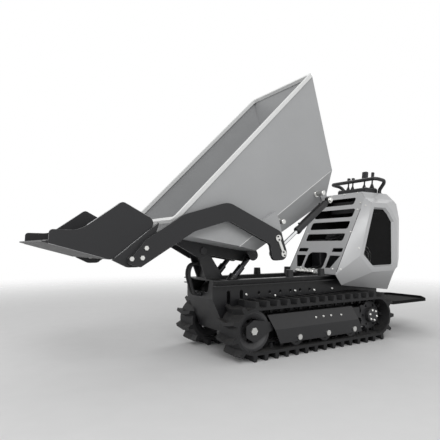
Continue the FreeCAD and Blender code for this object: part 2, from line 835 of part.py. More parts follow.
def chassis_crossmembers():
    """Plates and tubes between the chassis sides, and the lugs of the platform hinge."""
    half = chassis_half_width - side_plate
    plate = deck_thickness
    back = chassis_front_x - front_plate_thickness
    slope = (chassis_front_x - prow_foot_x) / (prow_top - belly_height)
    prow = side_solid([(chassis_front_x, prow_top), (prow_foot_x, belly_height),
                       (prow_foot_x - plate, belly_height),
                       (prow_foot_x - plate, belly_height + plate),
                       (chassis_front_x - plate - plate * slope, prow_top)],
                      -half, half)
    rear_foot = chassis_rear_x + chassis_rear_cut
    belly = block(rear_foot, prow_foot_x - plate, -half, half, belly_height, belly_height + plate)
    deck_low = rail_top - plate
    front_deck = block(back - front_deck_length, back, -half, half, deck_low, rail_top)
    tongue = block(stand_base_rear, back - front_deck_length, -stand_foot_half, stand_foot_half, deck_low,
                   rail_top)
    engine_deck = block(chassis_rear_x + plate, engine_deck_x, -half, half, deck_low, rail_top)
    middle = block(middle_plate_x - plate, middle_plate_x, -half, half, belly_height + plate, deck_low)
    rear = block(chassis_rear_x, chassis_rear_x + plate, -half, half, belly_height + chassis_rear_cut,
                 rail_top)
    tubes = [rod_y(x, cross_tube_z, cross_tube_radius, -half, half) for x in cross_tube_x]
    cheeks = []
    gap = tip_barrel_radius + clevis_clearance
    for y in (tip_cylinder_y - gap - clevis_plate, tip_cylinder_y + gap):
        shape = [(back, tip_anchor_z - tip_eye_radius), (back, tip_anchor_z + tip_eye_radius),
                 (tip_anchor_x - tip_eye_radius, tip_anchor_z + tip_eye_radius),
                 (tip_anchor_x - tip_eye_radius, tip_anchor_z - tip_eye_radius)]
        cheeks.append(side_solid(shape, y, y + clevis_plate,
                                 [0, 0, tip_eye_radius * 0.99, tip_eye_radius * 0.99]))
    lugs = []
    first = knuckle_inner_y - hinge_lug - seat_gap
    second = knuckle_inner_y + knuckle_length + seat_gap
    for y in (first, second):
        lug = side_solid([(chassis_rear_x, platform_hinge_z - hinge_barrel_radius),
                          (platform_hinge_x - hinge_barrel_radius, platform_hinge_z - hinge_barrel_radius),
                          (platform_hinge_x - hinge_barrel_radius, platform_hinge_z + hinge_barrel_radius),
                          (chassis_rear_x, platform_hinge_z + 2 * hinge_barrel_radius)], y, y + hinge_lug,
                         [0, hinge_barrel_radius * 0.99, hinge_barrel_radius * 0.99, 0])
        lugs.append(lug.cut(bore_y(platform_hinge_x, platform_hinge_z, hinge_pin_radius, y, y + hinge_lug)))
    whole = [front_plate(), prow, belly, front_deck, tongue, engine_deck, middle, rear]
    return whole + tubes + both_sides(cheeks) + both_sides(lugs)


def platform_pin():
    reach = knuckle_inner_y + knuckle_length + seat_gap + hinge_lug
    inner = knuckle_inner_y - hinge_lug - seat_gap
    pin = rod_y(platform_hinge_x, platform_hinge_z, hinge_pin_radius, inner, reach)
    head = rod_y(platform_hinge_x, platform_hinge_z, hinge_pin_radius + hinge_lug / 3, reach,
                 reach + hinge_lug / 2)
    return both_sides([pin.fuse(head)])


def pivot_stand():
    """Two tapering cheeks on the front deck, tied by a base plate and a front web."""
    inner = stand_gap / 2
    outer = inner + stand_plate
    base = rail_top + deck_thickness
    turns = [math.radians(a) for a in (170, 90, 20, -40)]
    head = [(pivot_x + stand_head_radius * math.cos(a),
             pivot_z + stand_head_radius * math.sin(a)) for a in turns]
    cheek_line = [(stand_base_rear, base)] + head + [(stand_base_front, base)]
    rounds = [0, stand_head_radius / 2, stand_head_radius * 0.7, stand_head_radius / 2,
              stand_head_radius / 2, 0]
    cheek = side_solid(cheek_line, inner, outer, rounds)
    cheek = cheek.cut(bore_y(pivot_x, pivot_z, pivot_pin_radius + running_fit, inner, outer))
    foot = block(stand_base_rear, stand_base_front, -stand_foot_half, stand_foot_half, rail_top, base)
    rise = (pivot_z - stand_head_radius - base) * 0.8
    web = block(stand_base_front - 2 * stand_plate, stand_base_front - stand_plate, -inner, inner, base,
                base + rise)
    return one([foot, web] + both_sides([cheek]))


def skip_buffers():
    """Rubber buffers on the rails under the lowered skip floor."""
    height = pivot_z - skip_floor_drop - rail_top - cut_over
    y = rail_outer_y - buffer_radius - cut_over
    return both_sides([Part.makeCone(buffer_radius, buffer_radius * 0.88, height,
                                     point(x, y, rail_top)) for x in buffer_x])


def skip_form(wall, over):
    """Closed inner or outer form of the skip: an XZ outline with its lower sides drawn inward."""
    corners = [rear_top, (floor_rear, -skip_floor_drop), (-skip_floor_front, -skip_floor_drop), lip_foot,
               lip_top]
    moved = shifted_line(corners, wall)
    rise_x = (lip_top[0] - rear_top[0]) / math.hypot(lip_top[0] - rear_top[0], lip_top[1] - rear_top[1])
    rise_z = (rear_top[1] - lip_top[1]) / math.hypot(lip_top[0] - rear_top[0], lip_top[1] - rear_top[1])
    ends = [(moved[0][0] + over * rise_z, moved[0][1] + over * rise_x),
            (moved[-1][0] + over * rise_z, moved[-1][1] + over * rise_x)]
    half = skip_half_width - wall
    form = side_solid([ends[0]] + moved[:] + [ends[1]] if over else moved, -half, half)
    along = point(bend_front[0] - bend_rear[0], 0, bend_front[1] - bend_rear[1]).normalize()
    down = point(along.z, 0, -along.x)
    start = point(bend_rear[0], 0, bend_rear[1]) - along * skip_floor_length
    depth = skip_floor_length
    wedges = []
    for side in (-1, 1):
        top = start + point(0, side * half, 0)
        low = top + down * depth + point(0, -side * skip_taper * depth, 0)
        out = top + down * depth + point(0, side * depth, 0)
        face = Part.Face(Part.makePolygon([top, low, out, top]))
        wedges.append(face.extrude(along * (3 * skip_floor_length)))
    return without(form, wedges)


def skip_side_height(x):
    """Height of the side bend line in the skip's own axes."""
    return bend_rear[1] + (x - bend_rear[0]) * (bend_front[1] - bend_rear[1]) / (bend_front[0] - bend_rear[0])


def skip_hopper():
    """Welded sheet skip, open at the top, with its lower side panels drawn inward."""
    return skip_form(0, 0).cut(skip_form(skip_sheet, skip_sheet))


def skip_pegs():
    """Bright round studs welded to the lower side panels of the skip."""
    outer = skip_form(0, 0)
    pegs = []
    for a, b in peg_places_share:
        x = -a * skip_floor_length
        z = -b * skip_floor_drop
        wall = skip_half_width - skip_taper * (skip_side_height(x) - z)
        pegs.append(rod_y(x, z, peg_radius, wall - peg_radius, wall + peg_length).cut(outer))
    return both_sides(pegs)


def skip_rim():
    """Bright bar round the opening of the skip, lying on the top edges of its four walls."""
    length = math.hypot(lip_top[0] - rear_top[0], lip_top[1] - rear_top[1])
    reach = rim_width / 2
    half = skip_half_width + reach - skip_sheet
    ring = flat_solid([(-reach, -half), (length + reach, -half), (length + reach, half), (-reach, half)],
                      0, rim_depth, rim_corner)
    inside = flat_solid([(reach, rim_width - half), (length - reach, rim_width - half),
                         (length - reach, half - rim_width), (reach, half - rim_width)],
                        -cut_over, rim_depth + cut_over, rim_corner - reach)
    rim = ring.cut(inside)
    lean = math.degrees(math.atan2(rear_top[1] - lip_top[1], lip_top[0] - rear_top[0]))
    rim.Placement = Placement(Vector(rear_top[0], 0, rear_top[1]), Rotation(Vector(0, 1, 0), lean))
    return rim


def cradle_line():
    """Lower outline of the cradle plates from the nose back to the tail."""
    nose = (ramp_x * cradle_ramp_share - skip_floor_front, ramp_z * cradle_ramp_share - skip_floor_drop)
    foot = (-skip_floor_front, -skip_floor_drop)
    tail = (-skip_floor_front - cradle_length, -skip_floor_drop)
    back = (tail[0], tail[1] - cradle_depth)
    lift = (-lift_back - lift_boss_radius, -lift_drop - lift_boss_radius)
    front = (-lift_back + lift_boss_radius, -lift_drop - lift_boss_radius)
    pivot = (-pivot_pin_radius, -stand_head_radius)
    fore = (stand_head_radius, -stand_head_radius)
    chin = (nose[0], nose[1] - cradle_nose_depth)
    return [nose, foot, tail, back, lift, front, pivot, fore, chin]


def skip_cradle():
    """Cradle under the skip: two long plates, a nose beam, cross plates and the lift pins."""
    inner = stand_gap / 2 + stand_plate + cradle_gap
    outer = inner + cradle_plate
    line = cradle_line()
    rounds = [0, 0, 0, 0, lift_boss_radius * 0.8, lift_boss_radius * 0.8, stand_head_radius / 2,
              stand_head_radius / 2, 0]
    plate = side_solid(line, inner, outer, rounds)
    plate = plate.cut(bore_y(0, 0, pivot_pin_radius, inner, outer))
    chin = line[-1]
    nose = rod_y((line[0][0] + chin[0]) / 2 - cradle_beam_radius,
                 (line[0][1] + chin[1]) / 2 - cradle_beam_radius,
                 cradle_beam_radius, -inner, inner)
    tail = block(line[2][0], line[2][0] + cradle_plate, -inner, inner, line[3][1], line[2][1])
    mid = block(line[4][0] - cradle_plate, line[4][0], -inner, inner, line[2][1] - cradle_depth, line[2][1])
    eye = tip_cylinder_y + tip_sleeve_radius + clevis_clearance
    low = -lift_drop - lift_boss_radius
    ear = side_solid([(-lift_back - lift_boss_radius, -skip_floor_drop),
                      (-lift_back - lift_boss_radius, low),
                      (-lift_back + lift_boss_radius, low),
                      (-lift_back + lift_boss_radius, -skip_floor_drop)],
                     eye, eye + clevis_plate, [0, lift_boss_radius * 0.9, lift_boss_radius * 0.9, 0])
    ear = ear.cut(bore_y(-lift_back, -lift_drop, lift_pin_radius, eye, eye + clevis_plate))
    pin = rod_y(-lift_back, -lift_drop, lift_pin_radius, outer, eye + clevis_plate)
    collar = ring_y(-lift_back, -lift_drop, tip_eye_radius, lift_pin_radius, outer,
                    tip_cylinder_y - tip_sleeve_radius - clevis_clearance)
    return both_sides([plate, ear, pin, collar]) + [nose, tail, mid]


def tipping_pin():
    inner = stand_gap / 2 + stand_plate + cradle_gap
    reach = inner + cradle_plate
    pin = rod_y(0, 0, pivot_pin_radius, -reach, reach)
    head = hex_head(0, 0, pivot_pin_radius + cradle_gap, reach, reach + cradle_plate / 2)
    return one([pin] + both_sides([head]))


def loader_brackets():
    """Arm pivot brackets and rear cylinder cheeks that stand on the drawn-in side panels."""
    outer = skip_form(0, 0)
    x, z = -arm_pivot_back, -arm_pivot_drop
    face = arm_inner_y - seat_gap
    bend = skip_side_height(x)
    spread = pivot_cheek_radius * 1.7
    wide = side_solid([(x - pivot_cheek_radius, z - pivot_cheek_radius), (x - spread, bend),
                       (x - spread, bend + pivot_cheek_radius),
                       (x + spread, bend + pivot_cheek_radius), (x + spread, bend),
                       (x + pivot_cheek_radius, z - pivot_cheek_radius)],
                      skip_half_width, face,
                      [pivot_cheek_radius * 0.9, 0, 0, 0, 0, pivot_cheek_radius * 0.9])
    start = loader_cylinder_y + eye_width / 2 + 2 * clevis_clearance
    boss = rod_y(x, z, pivot_cheek_radius * 0.8, start, face)
    hub = one([wide, boss]).cut(outer)
    hub = hub.cut(bore_y(x, z, arm_pin_radius + running_fit, start, face))
    cheeks = []
    x, z = -loader_anchor_back, -loader_anchor_drop
    gap = loader_barrel_radius + clevis_clearance
    top = skip_side_height(x)
    for y in (loader_cylinder_y - gap - clevis_plate, loader_cylinder_y + gap):
        cheek = side_solid([(x - loader_eye_radius, z - loader_eye_radius),
                            (x - 2 * loader_eye_radius, top),
                            (x + loader_eye_radius, top), (x + loader_eye_radius, z - loader_eye_radius)],
                           y, y + clevis_plate, [loader_eye_radius * 0.8, 0, 0, loader_eye_radius * 0.8])
        cheeks.append(cheek.cut(outer))
    return both_sides([hub] + cheeks)


def arm_plate():
    """Loader arm: one thick cranked plate cut from the solid, with pin and bolt holes."""
    outline_points = scaled(arm_top_shares + arm_low_shares, arm_reach)
    rounds = [share * arm_reach for share in arm_round_shares]
    outer = arm_inner_y + arm_thickness
    x, z = arm_pivot
    plate = side_solid(moved_by(outline_points, x, z), arm_inner_y, outer, rounds)
    holes = [bore_y(x, z, arm_pin_radius, arm_inner_y, outer),
             bore_y(crank_pin[0], crank_pin[1], arm_pin_radius, arm_inner_y, outer)]
    for a, b in scaled(arm_bolt_shares, arm_reach):
        holes.append(bore_y(x + a, z + b, bolt_radius, arm_inner_y, outer))
    return without(plate, holes)


def arm_pins():
    """Arm pivot and cylinder pins; the lower one carries a collar and a stop for the cylinder eye."""
    outer = arm_inner_y + arm_thickness
    eye_out = loader_cylinder_y + eye_width / 2 + clevis_clearance
    reach = loader_cylinder_y - eye_width / 2 - clevis_clearance
    upper = rod_y(*arm_pivot, arm_pin_radius, eye_out + clevis_clearance, outer)
    lower = rod_y(*crank_pin, arm_pin_radius, reach - arm_pin_stop, outer)
    collar = ring_y(*crank_pin, arm_pin_collar_radius, arm_pin_radius, eye_out, arm_inner_y)
    stop = ring_y(*crank_pin, arm_pin_collar_radius, arm_pin_radius, reach - arm_pin_stop, reach)
    return both_sides([upper, one([lower, collar, stop])])


def pin_keepers():
    """Waisted keeper plate that covers both pins on the outer face of each arm."""
    outer = arm_inner_y + arm_thickness
    lobes = [rod_y(x, z, keeper_radius, outer, outer + keeper_thickness) for x, z in (arm_pivot, crank_pin)]
    way = point(crank_pin[0] - arm_pivot[0], 0, crank_pin[1] - arm_pivot[1]).normalize()
    side = point(-way.z, 0, way.x) * keeper_waist
    corners = [(arm_pivot[0] + side.x, arm_pivot[1] + side.z),
               (crank_pin[0] + side.x, crank_pin[1] + side.z),
               (crank_pin[0] - side.x, crank_pin[1] - side.z),
               (arm_pivot[0] - side.x, arm_pivot[1] - side.z)]
    return both_sides([one(lobes + [side_solid(corners, outer, outer + keeper_thickness)])])


def bucket_corner(angle_from_heel, length, start):
    a = math.radians(angle_from_heel)
    return start[0] + length * math.cos(a), start[1] + length * math.sin(a)


def bucket():
    """Loader bucket: bent sheet, thick cutting edge, shaped side plates and two arm lugs."""
    x, z = arm_pivot
    heel = (bucket_reach, -bucket_drop)
    blade = bucket_corner(bucket_floor_slope, bucket_floor_length, heel)
    back = bucket_corner(180 - bucket_back_slope, bucket_back_length, heel)
    peak = bucket_corner(bucket_top_slope, bucket_top_length, back)
    crest = bucket_corner(bucket_top_slope, bucket_top_length - bucket_peak_drop, back)
    shell = strip([blade, heel, back, crest][::-1], bucket_sheet)
    sheet_rounds = [0, bucket_bend, bucket_bend, 0, 0, bucket_bend - bucket_sheet,
                    bucket_bend - bucket_sheet, 0]
    inner = bucket_half_width - bucket_side
    sheet = side_solid(moved_by(shell, x, z), -inner, inner, sheet_rounds)
    lean = math.radians(bucket_floor_slope)
    along = (math.cos(lean), math.sin(lean))
    tip = (blade[0], blade[1])
    root = (blade[0] - blade_length * along[0], blade[1] - blade_length * along[1])
    up = (-along[1] * (bucket_sheet + blade_thickness), along[0] * (bucket_sheet + blade_thickness))
    edge_line = [tip, root, (root[0] + up[0], root[1] + up[1]),
                 (tip[0] - blade_length / 2 * along[0] + up[0],
                  tip[1] - blade_length / 2 * along[1] + up[1])]
    edge = side_solid(moved_by(edge_line, x, z), -inner, inner)
    toe = bucket_corner(bucket_floor_slope, bucket_floor_length - bucket_side_setback, heel)
    side_line = [heel, toe] + scaled(bucket_side_shares, bucket_reach) + [peak, back]
    side_rounds = [bucket_bend, 0, bucket_bend / 2, bucket_reach * bucket_side_round_share,
                   bucket_bend * 0.7, bucket_bend]
    side = side_solid(moved_by(side_line, x, z), inner, bucket_half_width, side_rounds)
    lug_line = [heel] + scaled(bucket_lug_shares, bucket_reach) + [back]
    lug = side_solid(moved_by(lug_line, x, z), arm_inner_y - lug_plate, arm_inner_y,
                     [0, bucket_bend, bucket_bend, bucket_bend, 0])
    holes = []
    for a, b in scaled(arm_bolt_shares, arm_reach):
        holes.append(bore_y(x + a, z + b, bolt_radius, arm_inner_y - lug_plate, arm_inner_y))
    return one([sheet, edge] + both_sides([side, without(lug, holes)]))


def bucket_bolts():
    """Three bolts with nuts through each arm end and bucket lug."""
    x, z = arm_pivot
    outer = arm_inner_y + arm_thickness
    inner = arm_inner_y - lug_plate
    bolts = []
    for a, b in scaled(arm_bolt_shares, arm_reach):
        bolts.append(one([rod_y(x + a, z + b, bolt_radius, inner, outer),
                          hex_head(x + a, z + b, bolt_head_radius, outer, outer + bolt_head),
                          hex_head(x + a, z + b, bolt_head_radius, inner - bolt_head, inner)]))
    return both_sides(bolts)


def cylinder_tube(start, end, reach_in, length, radius, wall, bore):
    """Tube closed at its near end and fitted with a gland at its far end."""
    way = (end - start).normalize()
    near = start + way * reach_in
    far = near + way * length
    tube = rod_between(near, far,
                       radius).cut(rod_between(near + way * (2 * wall), far + way * cut_over,
                                               radius - wall))
    gland = rod_between(far - way * gland_length, far, radius + gland_lip)
    gland = gland.cut(rod_between(far - way * (gland_length + cut_over), far + way * cut_over, bore))
    return tube, gland


def loader_rod():
    """Polished rod and eye that turn on the lower arm pin, with the piston at the far end."""
    start = point(crank_pin[0], loader_cylinder_y, crank_pin[1])
    end = point(loader_anchor[0], loader_cylinder_y, loader_anchor[1])
    way = (end - start).normalize()
    low = loader_cylinder_y - eye_width / 2
    high = loader_cylinder_y + eye_width / 2
    rod = rod_between(start, start + way * loader_rod_length, loader_rod_radius)
    far = start + way * loader_rod_length
    piston = rod_between(far - way * gland_length, far,
                         loader_barrel_radius - loader_barrel_wall - running_fit)
    eye = rod_y(crank_pin[0], crank_pin[1], loader_eye_radius, low, high)
    hole = bore_y(crank_pin[0], crank_pin[1], arm_pin_radius + running_fit, low, high)
    return one([rod, piston, eye]).cut(hole)


def loader_barrel():
    """Barrel with its gland, a rear eye and the hard line that runs along it."""
    start = point(loader_anchor[0], loader_cylinder_y, loader_anchor[1])
    end = point(crank_pin[0], loader_cylinder_y, crank_pin[1])
    way = (end - start).normalize()
    tube, gland = cylinder_tube(start, end, loader_eye_radius + open_pivot_gap, loader_barrel_length,
                                loader_barrel_radius, loader_barrel_wall, loader_rod_radius + running_fit)
    low = loader_cylinder_y - eye_width / 2
    high = loader_cylinder_y + eye_width / 2
    eye = rod_y(start.x, start.z, loader_eye_radius, low, high)
    root = loader_eye_radius + open_pivot_gap
    neck = rod_between(start + way * (loader_eye_radius * 0.8), start + way * (root + loader_barrel_wall),
                       loader_rod_radius)
    side = point(-way.z, 0, way.x)
    side = side if side.z > 0 else side * -1
    lift = loader_barrel_radius + hose_radius * 0.75
    ends = [start + way * (root + 2 * gland_length),
            start + way * (root + loader_barrel_length - 2 * gland_length)]
    line = rod_between(ends[0] + side * lift - way * hose_radius, ends[1] + side * lift + way * hose_radius,
                       hose_radius / 2)
    ports = [rod_between(p + side * loader_barrel_radius * 0.9, p + side * (lift + hose_radius * 0.7),
                         hose_radius * 0.8) for p in ends]
    barrel = one([tube, gland, eye, neck])
    barrel = barrel.cut(bore_y(start.x, start.z, arm_pin_radius, low, high))
    return Part.makeCompound([barrel, one([line] + ports).cut(barrel)])


def tip_stations():
    """Start, direction and present length of the telescopic tipping cylinder."""
    start = point(tip_anchor_x, tip_cylinder_y, tip_anchor_z)
    end = point(lift_point[0], tip_cylinder_y, lift_point[1])
    return start, end, (end - start).normalize(), (end - start).Length


def tip_rods():
    start, end, way, reach = tip_stations()
    low = tip_cylinder_y - eye_width / 2
    high = tip_cylinder_y + eye_width / 2
    rod = rod_between(end, end - way * tip_rod_length, tip_rod_radius)
    eye = rod_y(end.x, end.z, tip_eye_radius, low, high)
    hole = bore_y(end.x, end.z, lift_pin_radius + running_fit, tip_cylinder_y - tip_rod_radius,
                  tip_cylinder_y + tip_rod_radius)
    return both_sides([one([rod, eye]).cut(hole)])


def tip_sleeves():
    """Middle stage of the tipping cylinders: a tube with a gland for the rod."""
    start, end, way, reach = tip_stations()
    near = tip_eye_radius + open_pivot_gap + 3 * tip_tube_wall + (reach - tip_closed_reach) * sleeve_share
    far = near + tip_sleeve_length
    tube = rod_between(start + way * near, start + way * far, tip_sleeve_radius)
    inside = rod_between(start + way * (near - cut_over), start + way * (far - gland_length),
                         tip_sleeve_radius - tip_tube_wall)
    bore = rod_between(start + way * near, start + way * (far + cut_over), tip_rod_radius + running_fit)
    return both_sides([without(tube, [inside, bore])])


def tip_barrels():
    """Outer stage of the tipping cylinders with a gland and an eye between the anchor cheeks."""
    start, end, way, reach = tip_stations()
    tube, gland = cylinder_tube(start, end, tip_eye_radius + open_pivot_gap, tip_barrel_length,
                                tip_barrel_radius, tip_tube_wall, tip_sleeve_radius + running_fit)
    low = tip_cylinder_y - eye_width / 2
    high = tip_cylinder_y + eye_width / 2
    eye = rod_y(start.x, start.z, tip_eye_radius, low, high)
    root = tip_eye_radius + open_pivot_gap
    neck = rod_between(start + way * (tip_eye_radius * 0.8), start + way * (root + tip_tube_wall),
                       tip_eye_radius * 0.8)
    return both_sides([one([tube, gland, eye, neck])])


def cover_outline(shares):
    """Side cover outline, clockwise as seen from the left, from shares of the housing's size."""
    return [(housing_front_x - a * housing_length, housing_bottom_z + b * housing_height)
            for a, b in shares]


def side_cover():
    """Moulded side cover: a hollow lofted shell with a bevelled window opening."""
    base = cover_outline(cover_base_shares)
    face = cover_outline(cover_face_shares)
    outer = side_loft(base, cover_base_y, face, housing_half_width)
    inner = side_loft(inset(base, -housing_wall), cover_base_y, inset(face, -housing_wall),
                      housing_half_width - housing_wall)
    shell = outer.cut(inner)
    sill = housing_half_width - window_depth
    frame = side_loft(inset(face, -window_rib / 2), housing_half_width - housing_wall,
                      inset(face, -window_rib), sill)
    opening = side_loft(inset(face, -window_rib), housing_half_width,
                        inset(face, -window_rib - window_bevel), sill)
    return one([shell, frame]).cut(opening)


def window_mesh():
    """Perforated sheet behind the window opening, kept as a plain plate."""
    face = cover_outline(cover_face_shares)
    high = housing_half_width - window_depth
    return side_solid(inset(face, -window_rib - window_bevel / 3), high - mesh_thickness, high)


def front_grille():
    """Sloping front sheet of the engine housing with rows of wide cooling slots."""
    half = cover_base_y
    right = [(a * half, b * grille_length) for a, b in grille_outline_shares]
    edge = [(-u, v) for u, v in right[::-1]] + right
    sheet = cross_solid(edge, 0, -grille_sheet)
    cuts = []

    def slot(u0, u1, v0, v1):
        corner = min(abs(u1 - u0), abs(v1 - v0)) / 4
        cuts.append(cross_solid([(u0, v0), (u1, v0), (u1, v1), (u0, v1)], cut_over,
                                -grille_sheet - cut_over, corner))

    for a, b, c in grille_slot_shares:
        slot(-a * half, a * half, b * grille_length, c * grille_length)
    low = [a * b for a, b in zip(grille_low_share, (half, grille_length, grille_length))]
    slot(-low[0], low[0], low[1], low[2])
    small = [a * b for a, b in zip(grille_small_shares, (half, half, grille_length, grille_length))]
    for side in (-1, 1):
        slot(side * small[0], side * small[1], small[2], small[3])
        corners = [(side * a * half, b * grille_length) for a, b in grille_side_shares]
        cuts.append(cross_solid(corners, cut_over, -grille_sheet - cut_over))
    sheet = without(sheet, cuts)
    sheet.Placement = Placement(Vector(housing_front_x, 0, grille_foot_z),
                                Rotation(Vector(0, 1, 0), -grille_lean))
    return sheet


def hood_profile():
    top = housing_bottom_z + housing_height
    side = cover_outline(cover_base_shares)[1][1]
    return [(cover_base_y, side), (hood_half_flat, top), (-hood_half_flat, top), (-cover_base_y, side)]


def top_cover():
    """Folded hood over the engine with a sloping front edge and a closed rear end."""
    base = cover_outline(cover_base_shares)
    front = base[1]
    rear_x = base[2][0] + rear_sheet
    slope = math.tan(math.radians(grille_lean))
    sheet_back = front[0] - grille_sheet / math.cos(math.radians(grille_lean)) - seat_gap
    rise = housing_bottom_z + housing_height - front[1]
    line = hood_profile()
    sheet = cross_solid(strip(line, housing_wall), front[0], rear_x)
    end = cross_solid(line, rear_x, rear_x + housing_wall)
    trim = side_solid([(sheet_back + housing_wall * slope, front[1] - housing_wall),
                       (sheet_back - (rise + housing_wall) * slope, front[1] + rise + housing_wall),
                       (rear_x, front[1] + rise + housing_wall), (rear_x, front[1] - housing_wall)],
                      -cover_base_y, cover_base_y)
    return one([sheet.common(trim), end])


def rear_panel():
    """Bent rear sheet between the side covers with a row of louvre slots."""
    base = cover_outline(cover_base_shares)[2:7]
    sheet = side_solid(strip(base, rear_sheet), -cover_base_y, cover_base_y)
    cuts = []
    top, low = base[2], base[3]
    for k in range(louvre_count):
        share = (k + 1) / (louvre_count + 1)
        x = top[0] + (low[0] - top[0]) * share
        z = top[1] + (low[1] - top[1]) * share
        cuts.append(block(x - louvre_height, x + louvre_height, -louvre_half_width, louvre_half_width,
                          z - louvre_height / 2, z + louvre_height / 2))
    return without(sheet, cuts)


def engine_block():
    """Engine on the deck: crankcase, finned cylinder and silencer."""
    deck = rail_top
    x, y = engine_x, engine_y
    foot = block(x - engine_length / 2, x + engine_length / 2, y - engine_width / 2, y + engine_width / 2,
                 deck, deck + engine_foot)
    low = deck + engine_foot
    case = flat_solid([(x - engine_length * case_share, y - engine_width * case_share),
                       (x + engine_length * case_share, y - engine_width * case_share),
                       (x + engine_length * case_share, y + engine_width * case_share),
                       (x - engine_length * case_share, y + engine_width * case_share)],
                      low, low + engine_height, engine_foot)
    root = point(x + engine_length / 4, y, low + engine_height * 0.8)
    way = point(0.5, 0, 0.866)
    barrel = rod_between(root, root + way * cylinder_height, cylinder_radius)
    fins = []
    for k in range(fin_count):
        start = root + way * (cylinder_height * (k + 2) / (fin_count + 2) - fin_thickness)
        fins.append(rod_between(start, start + way * fin_thickness, cylinder_radius + fin_overhang))
    pot_z = low + engine_height + muffler_radius * 0.85
    pot = rod_y(x - engine_length / 4, pot_z, muffler_radius, y - muffler_length / 2,
                y + muffler_length / 2)
    return one([foot, case, barrel, pot] + fins)


def recoil_starter():
    """Round cowl of the pull starter on the left side of the engine, ribbed in front."""
    x = engine_x
    z = rail_top + engine_foot + engine_height / 2
    near = engine_y + engine_width * case_share
    far = near + starter_depth
    drum = rod_y(x, z, starter_radius, near, far)
    rim_edges = [e for e in drum.Edges
                 if abs(e.BoundBox.YMin - far) < 1e-6 and abs(e.BoundBox.YMax - far) < 1e-6]
    drum = drum.makeFillet(starter_depth / 4, rim_edges)
    cuts = []
    for k in range(starter_rib_count):
        a = 2 * math.pi * k / starter_rib_count
        middle = 0.6 * starter_radius
        slot = block(-starter_radius * 0.2, starter_radius * 0.2, far - starter_rib_depth, far + cut_over,
                     -starter_rib_width / 2, starter_rib_width / 2)
        slot.Placement = Placement(Vector(x + middle * math.cos(a), 0, z + middle * math.sin(a)),
                                   Rotation(Vector(0, 1, 0), -math.degrees(a)))
        cuts.append(slot)
    return without(drum, cuts)


def fuel_tank():
    """Fuel tank under the hood with rounded corners."""
    top = housing_bottom_z + housing_height - tank_drop
    x1 = cover_outline(cover_face_shares)[1][0] - tank_drop
    tank = flat_solid([(x1 - tank_length, -tank_width / 2), (x1, -tank_width / 2), (x1, tank_width / 2),
                       (x1 - tank_length, tank_width / 2)],
                      top - tank_height, top, cap_radius)
    neck = Part.makeCylinder(cap_radius, tank_drop - housing_wall - seat_gap,
                             point(x1 - tank_length / 2, 0, top))
    return one([tank, neck])


def hydraulic_tank():
    """Oil tank on the engine deck behind the engine with a filler on top."""
    x0 = chassis_rear_x + deck_thickness
    y0 = -cover_base_y + 2 * housing_wall
    tank = flat_solid([(x0, y0), (x0 + oil_tank_length, y0), (x0 + oil_tank_length, y0 + oil_tank_width),
                       (x0, y0 + oil_tank_width)],
                      rail_top, rail_top + oil_tank_height, cap_radius / 2)
    cap = Part.makeCylinder(cap_radius, cap_height,
                            point(x0 + oil_tank_length / 2, y0 + oil_tank_width / 2,
                                  rail_top + oil_tank_height))
    return one([tank, cap])


def valve_block():
    """Round pressure manifold that lies across the deck in front of the grille."""
    x = engine_deck_x - valve_radius * 0.6
    z = rail_top + valve_radius
    body = rod_y(x, z, valve_radius, -valve_length * 0.7, valve_length * 0.3)
    return body.makeChamfer(valve_radius / 5, body.Edges)


def control_console():
    """Hollow console on the hood with a slot for each lever and their common pivot bars."""
    low = housing_bottom_z + housing_height
    top = low + console_height
    x0, x1 = console_x - console_length / 2, console_x + console_length / 2
    half = console_width / 2
    wall = console_wall
    shell = flat_solid([(x0, -half), (x1, -half), (x1, half), (x0, half)], low, top, console_corner)
    shell = shell.makeChamfer(wall * 2, [e for e in shell.Edges if e.BoundBox.ZMin > top - cut_over])
    hollow = flat_solid([(x0 + wall, wall - half), (x1 - wall, wall - half), (x1 - wall, half - wall),
                         (x0 + wall, half - wall)],
                        low - cut_over, top - 2 * wall, console_corner - wall)
    slots = []
    bars = []
    z = top - lever_pin_drop
    for y, depth, width, height in lever_table.values():
        middle = lever_x - lever_pin_drop * math.tan(math.radians(lever_lean))
        slots.append(block(middle - lever_slot_length / 2, middle + lever_slot_length / 2,
                           y - lever_slot_width / 2, y + lever_slot_width / 2, low, top + cut_over))
    bars.append(rod_y(lever_x, z, lever_pin_radius, wall - half - cut_over, half - wall + cut_over))
    return one([without(shell, [hollow] + slots)] + bars)


def lever(y, depth, width, height):
    """Hand lever: a hub on the pivot bar, a leaning stem and a rounded grip of its own size."""
    z = housing_bottom_z + housing_height + console_height - lever_pin_drop
    low, high = y - lever_hub_length / 2, y + lever_hub_length / 2
    hub = rod_y(0, 0, lever_hub_radius, low, high)
    stem = Part.makeCylinder(lever_radius, lever_length, point(0, y, 0))
    grip = block(-depth / 2, depth / 2, y - width / 2, y + width / 2, lever_length, lever_length + height)
    body = one([hub, stem, grip.makeFillet(grip_round, grip.Edges)])
    body = body.cut(bore_y(0, 0, lever_pin_radius + running_fit, low, high))
    body.Placement = Placement(point(lever_x, 0, z), Rotation(Vector(0, 1, 0), -lever_lean))
    return body


def handlebar():
    """Bent tube handle with splayed legs that stand on two flanges on the hood."""
    low = housing_bottom_z + housing_height
    high = low + handlebar_height
    far = handlebar_x + handlebar_reach
    legs = []
    for side in (-1, 1):
        foot = side * handlebar_foot_half
        legs.append([point(handlebar_x, foot, low), point(handlebar_x, foot, low + handlebar_foot_rise),
                     point(handlebar_x, side * handlebar_half, high),
                     point(far, side * handlebar_half, high + handlebar_rise)])
    tube = tube_path(legs[0] + legs[1][::-1], handlebar_radius, handlebar_bend)
    feet = [Part.makeCylinder(handlebar_radius * 1.3, console_wall, leg[0]) for leg in legs]
    return one([tube] + feet)


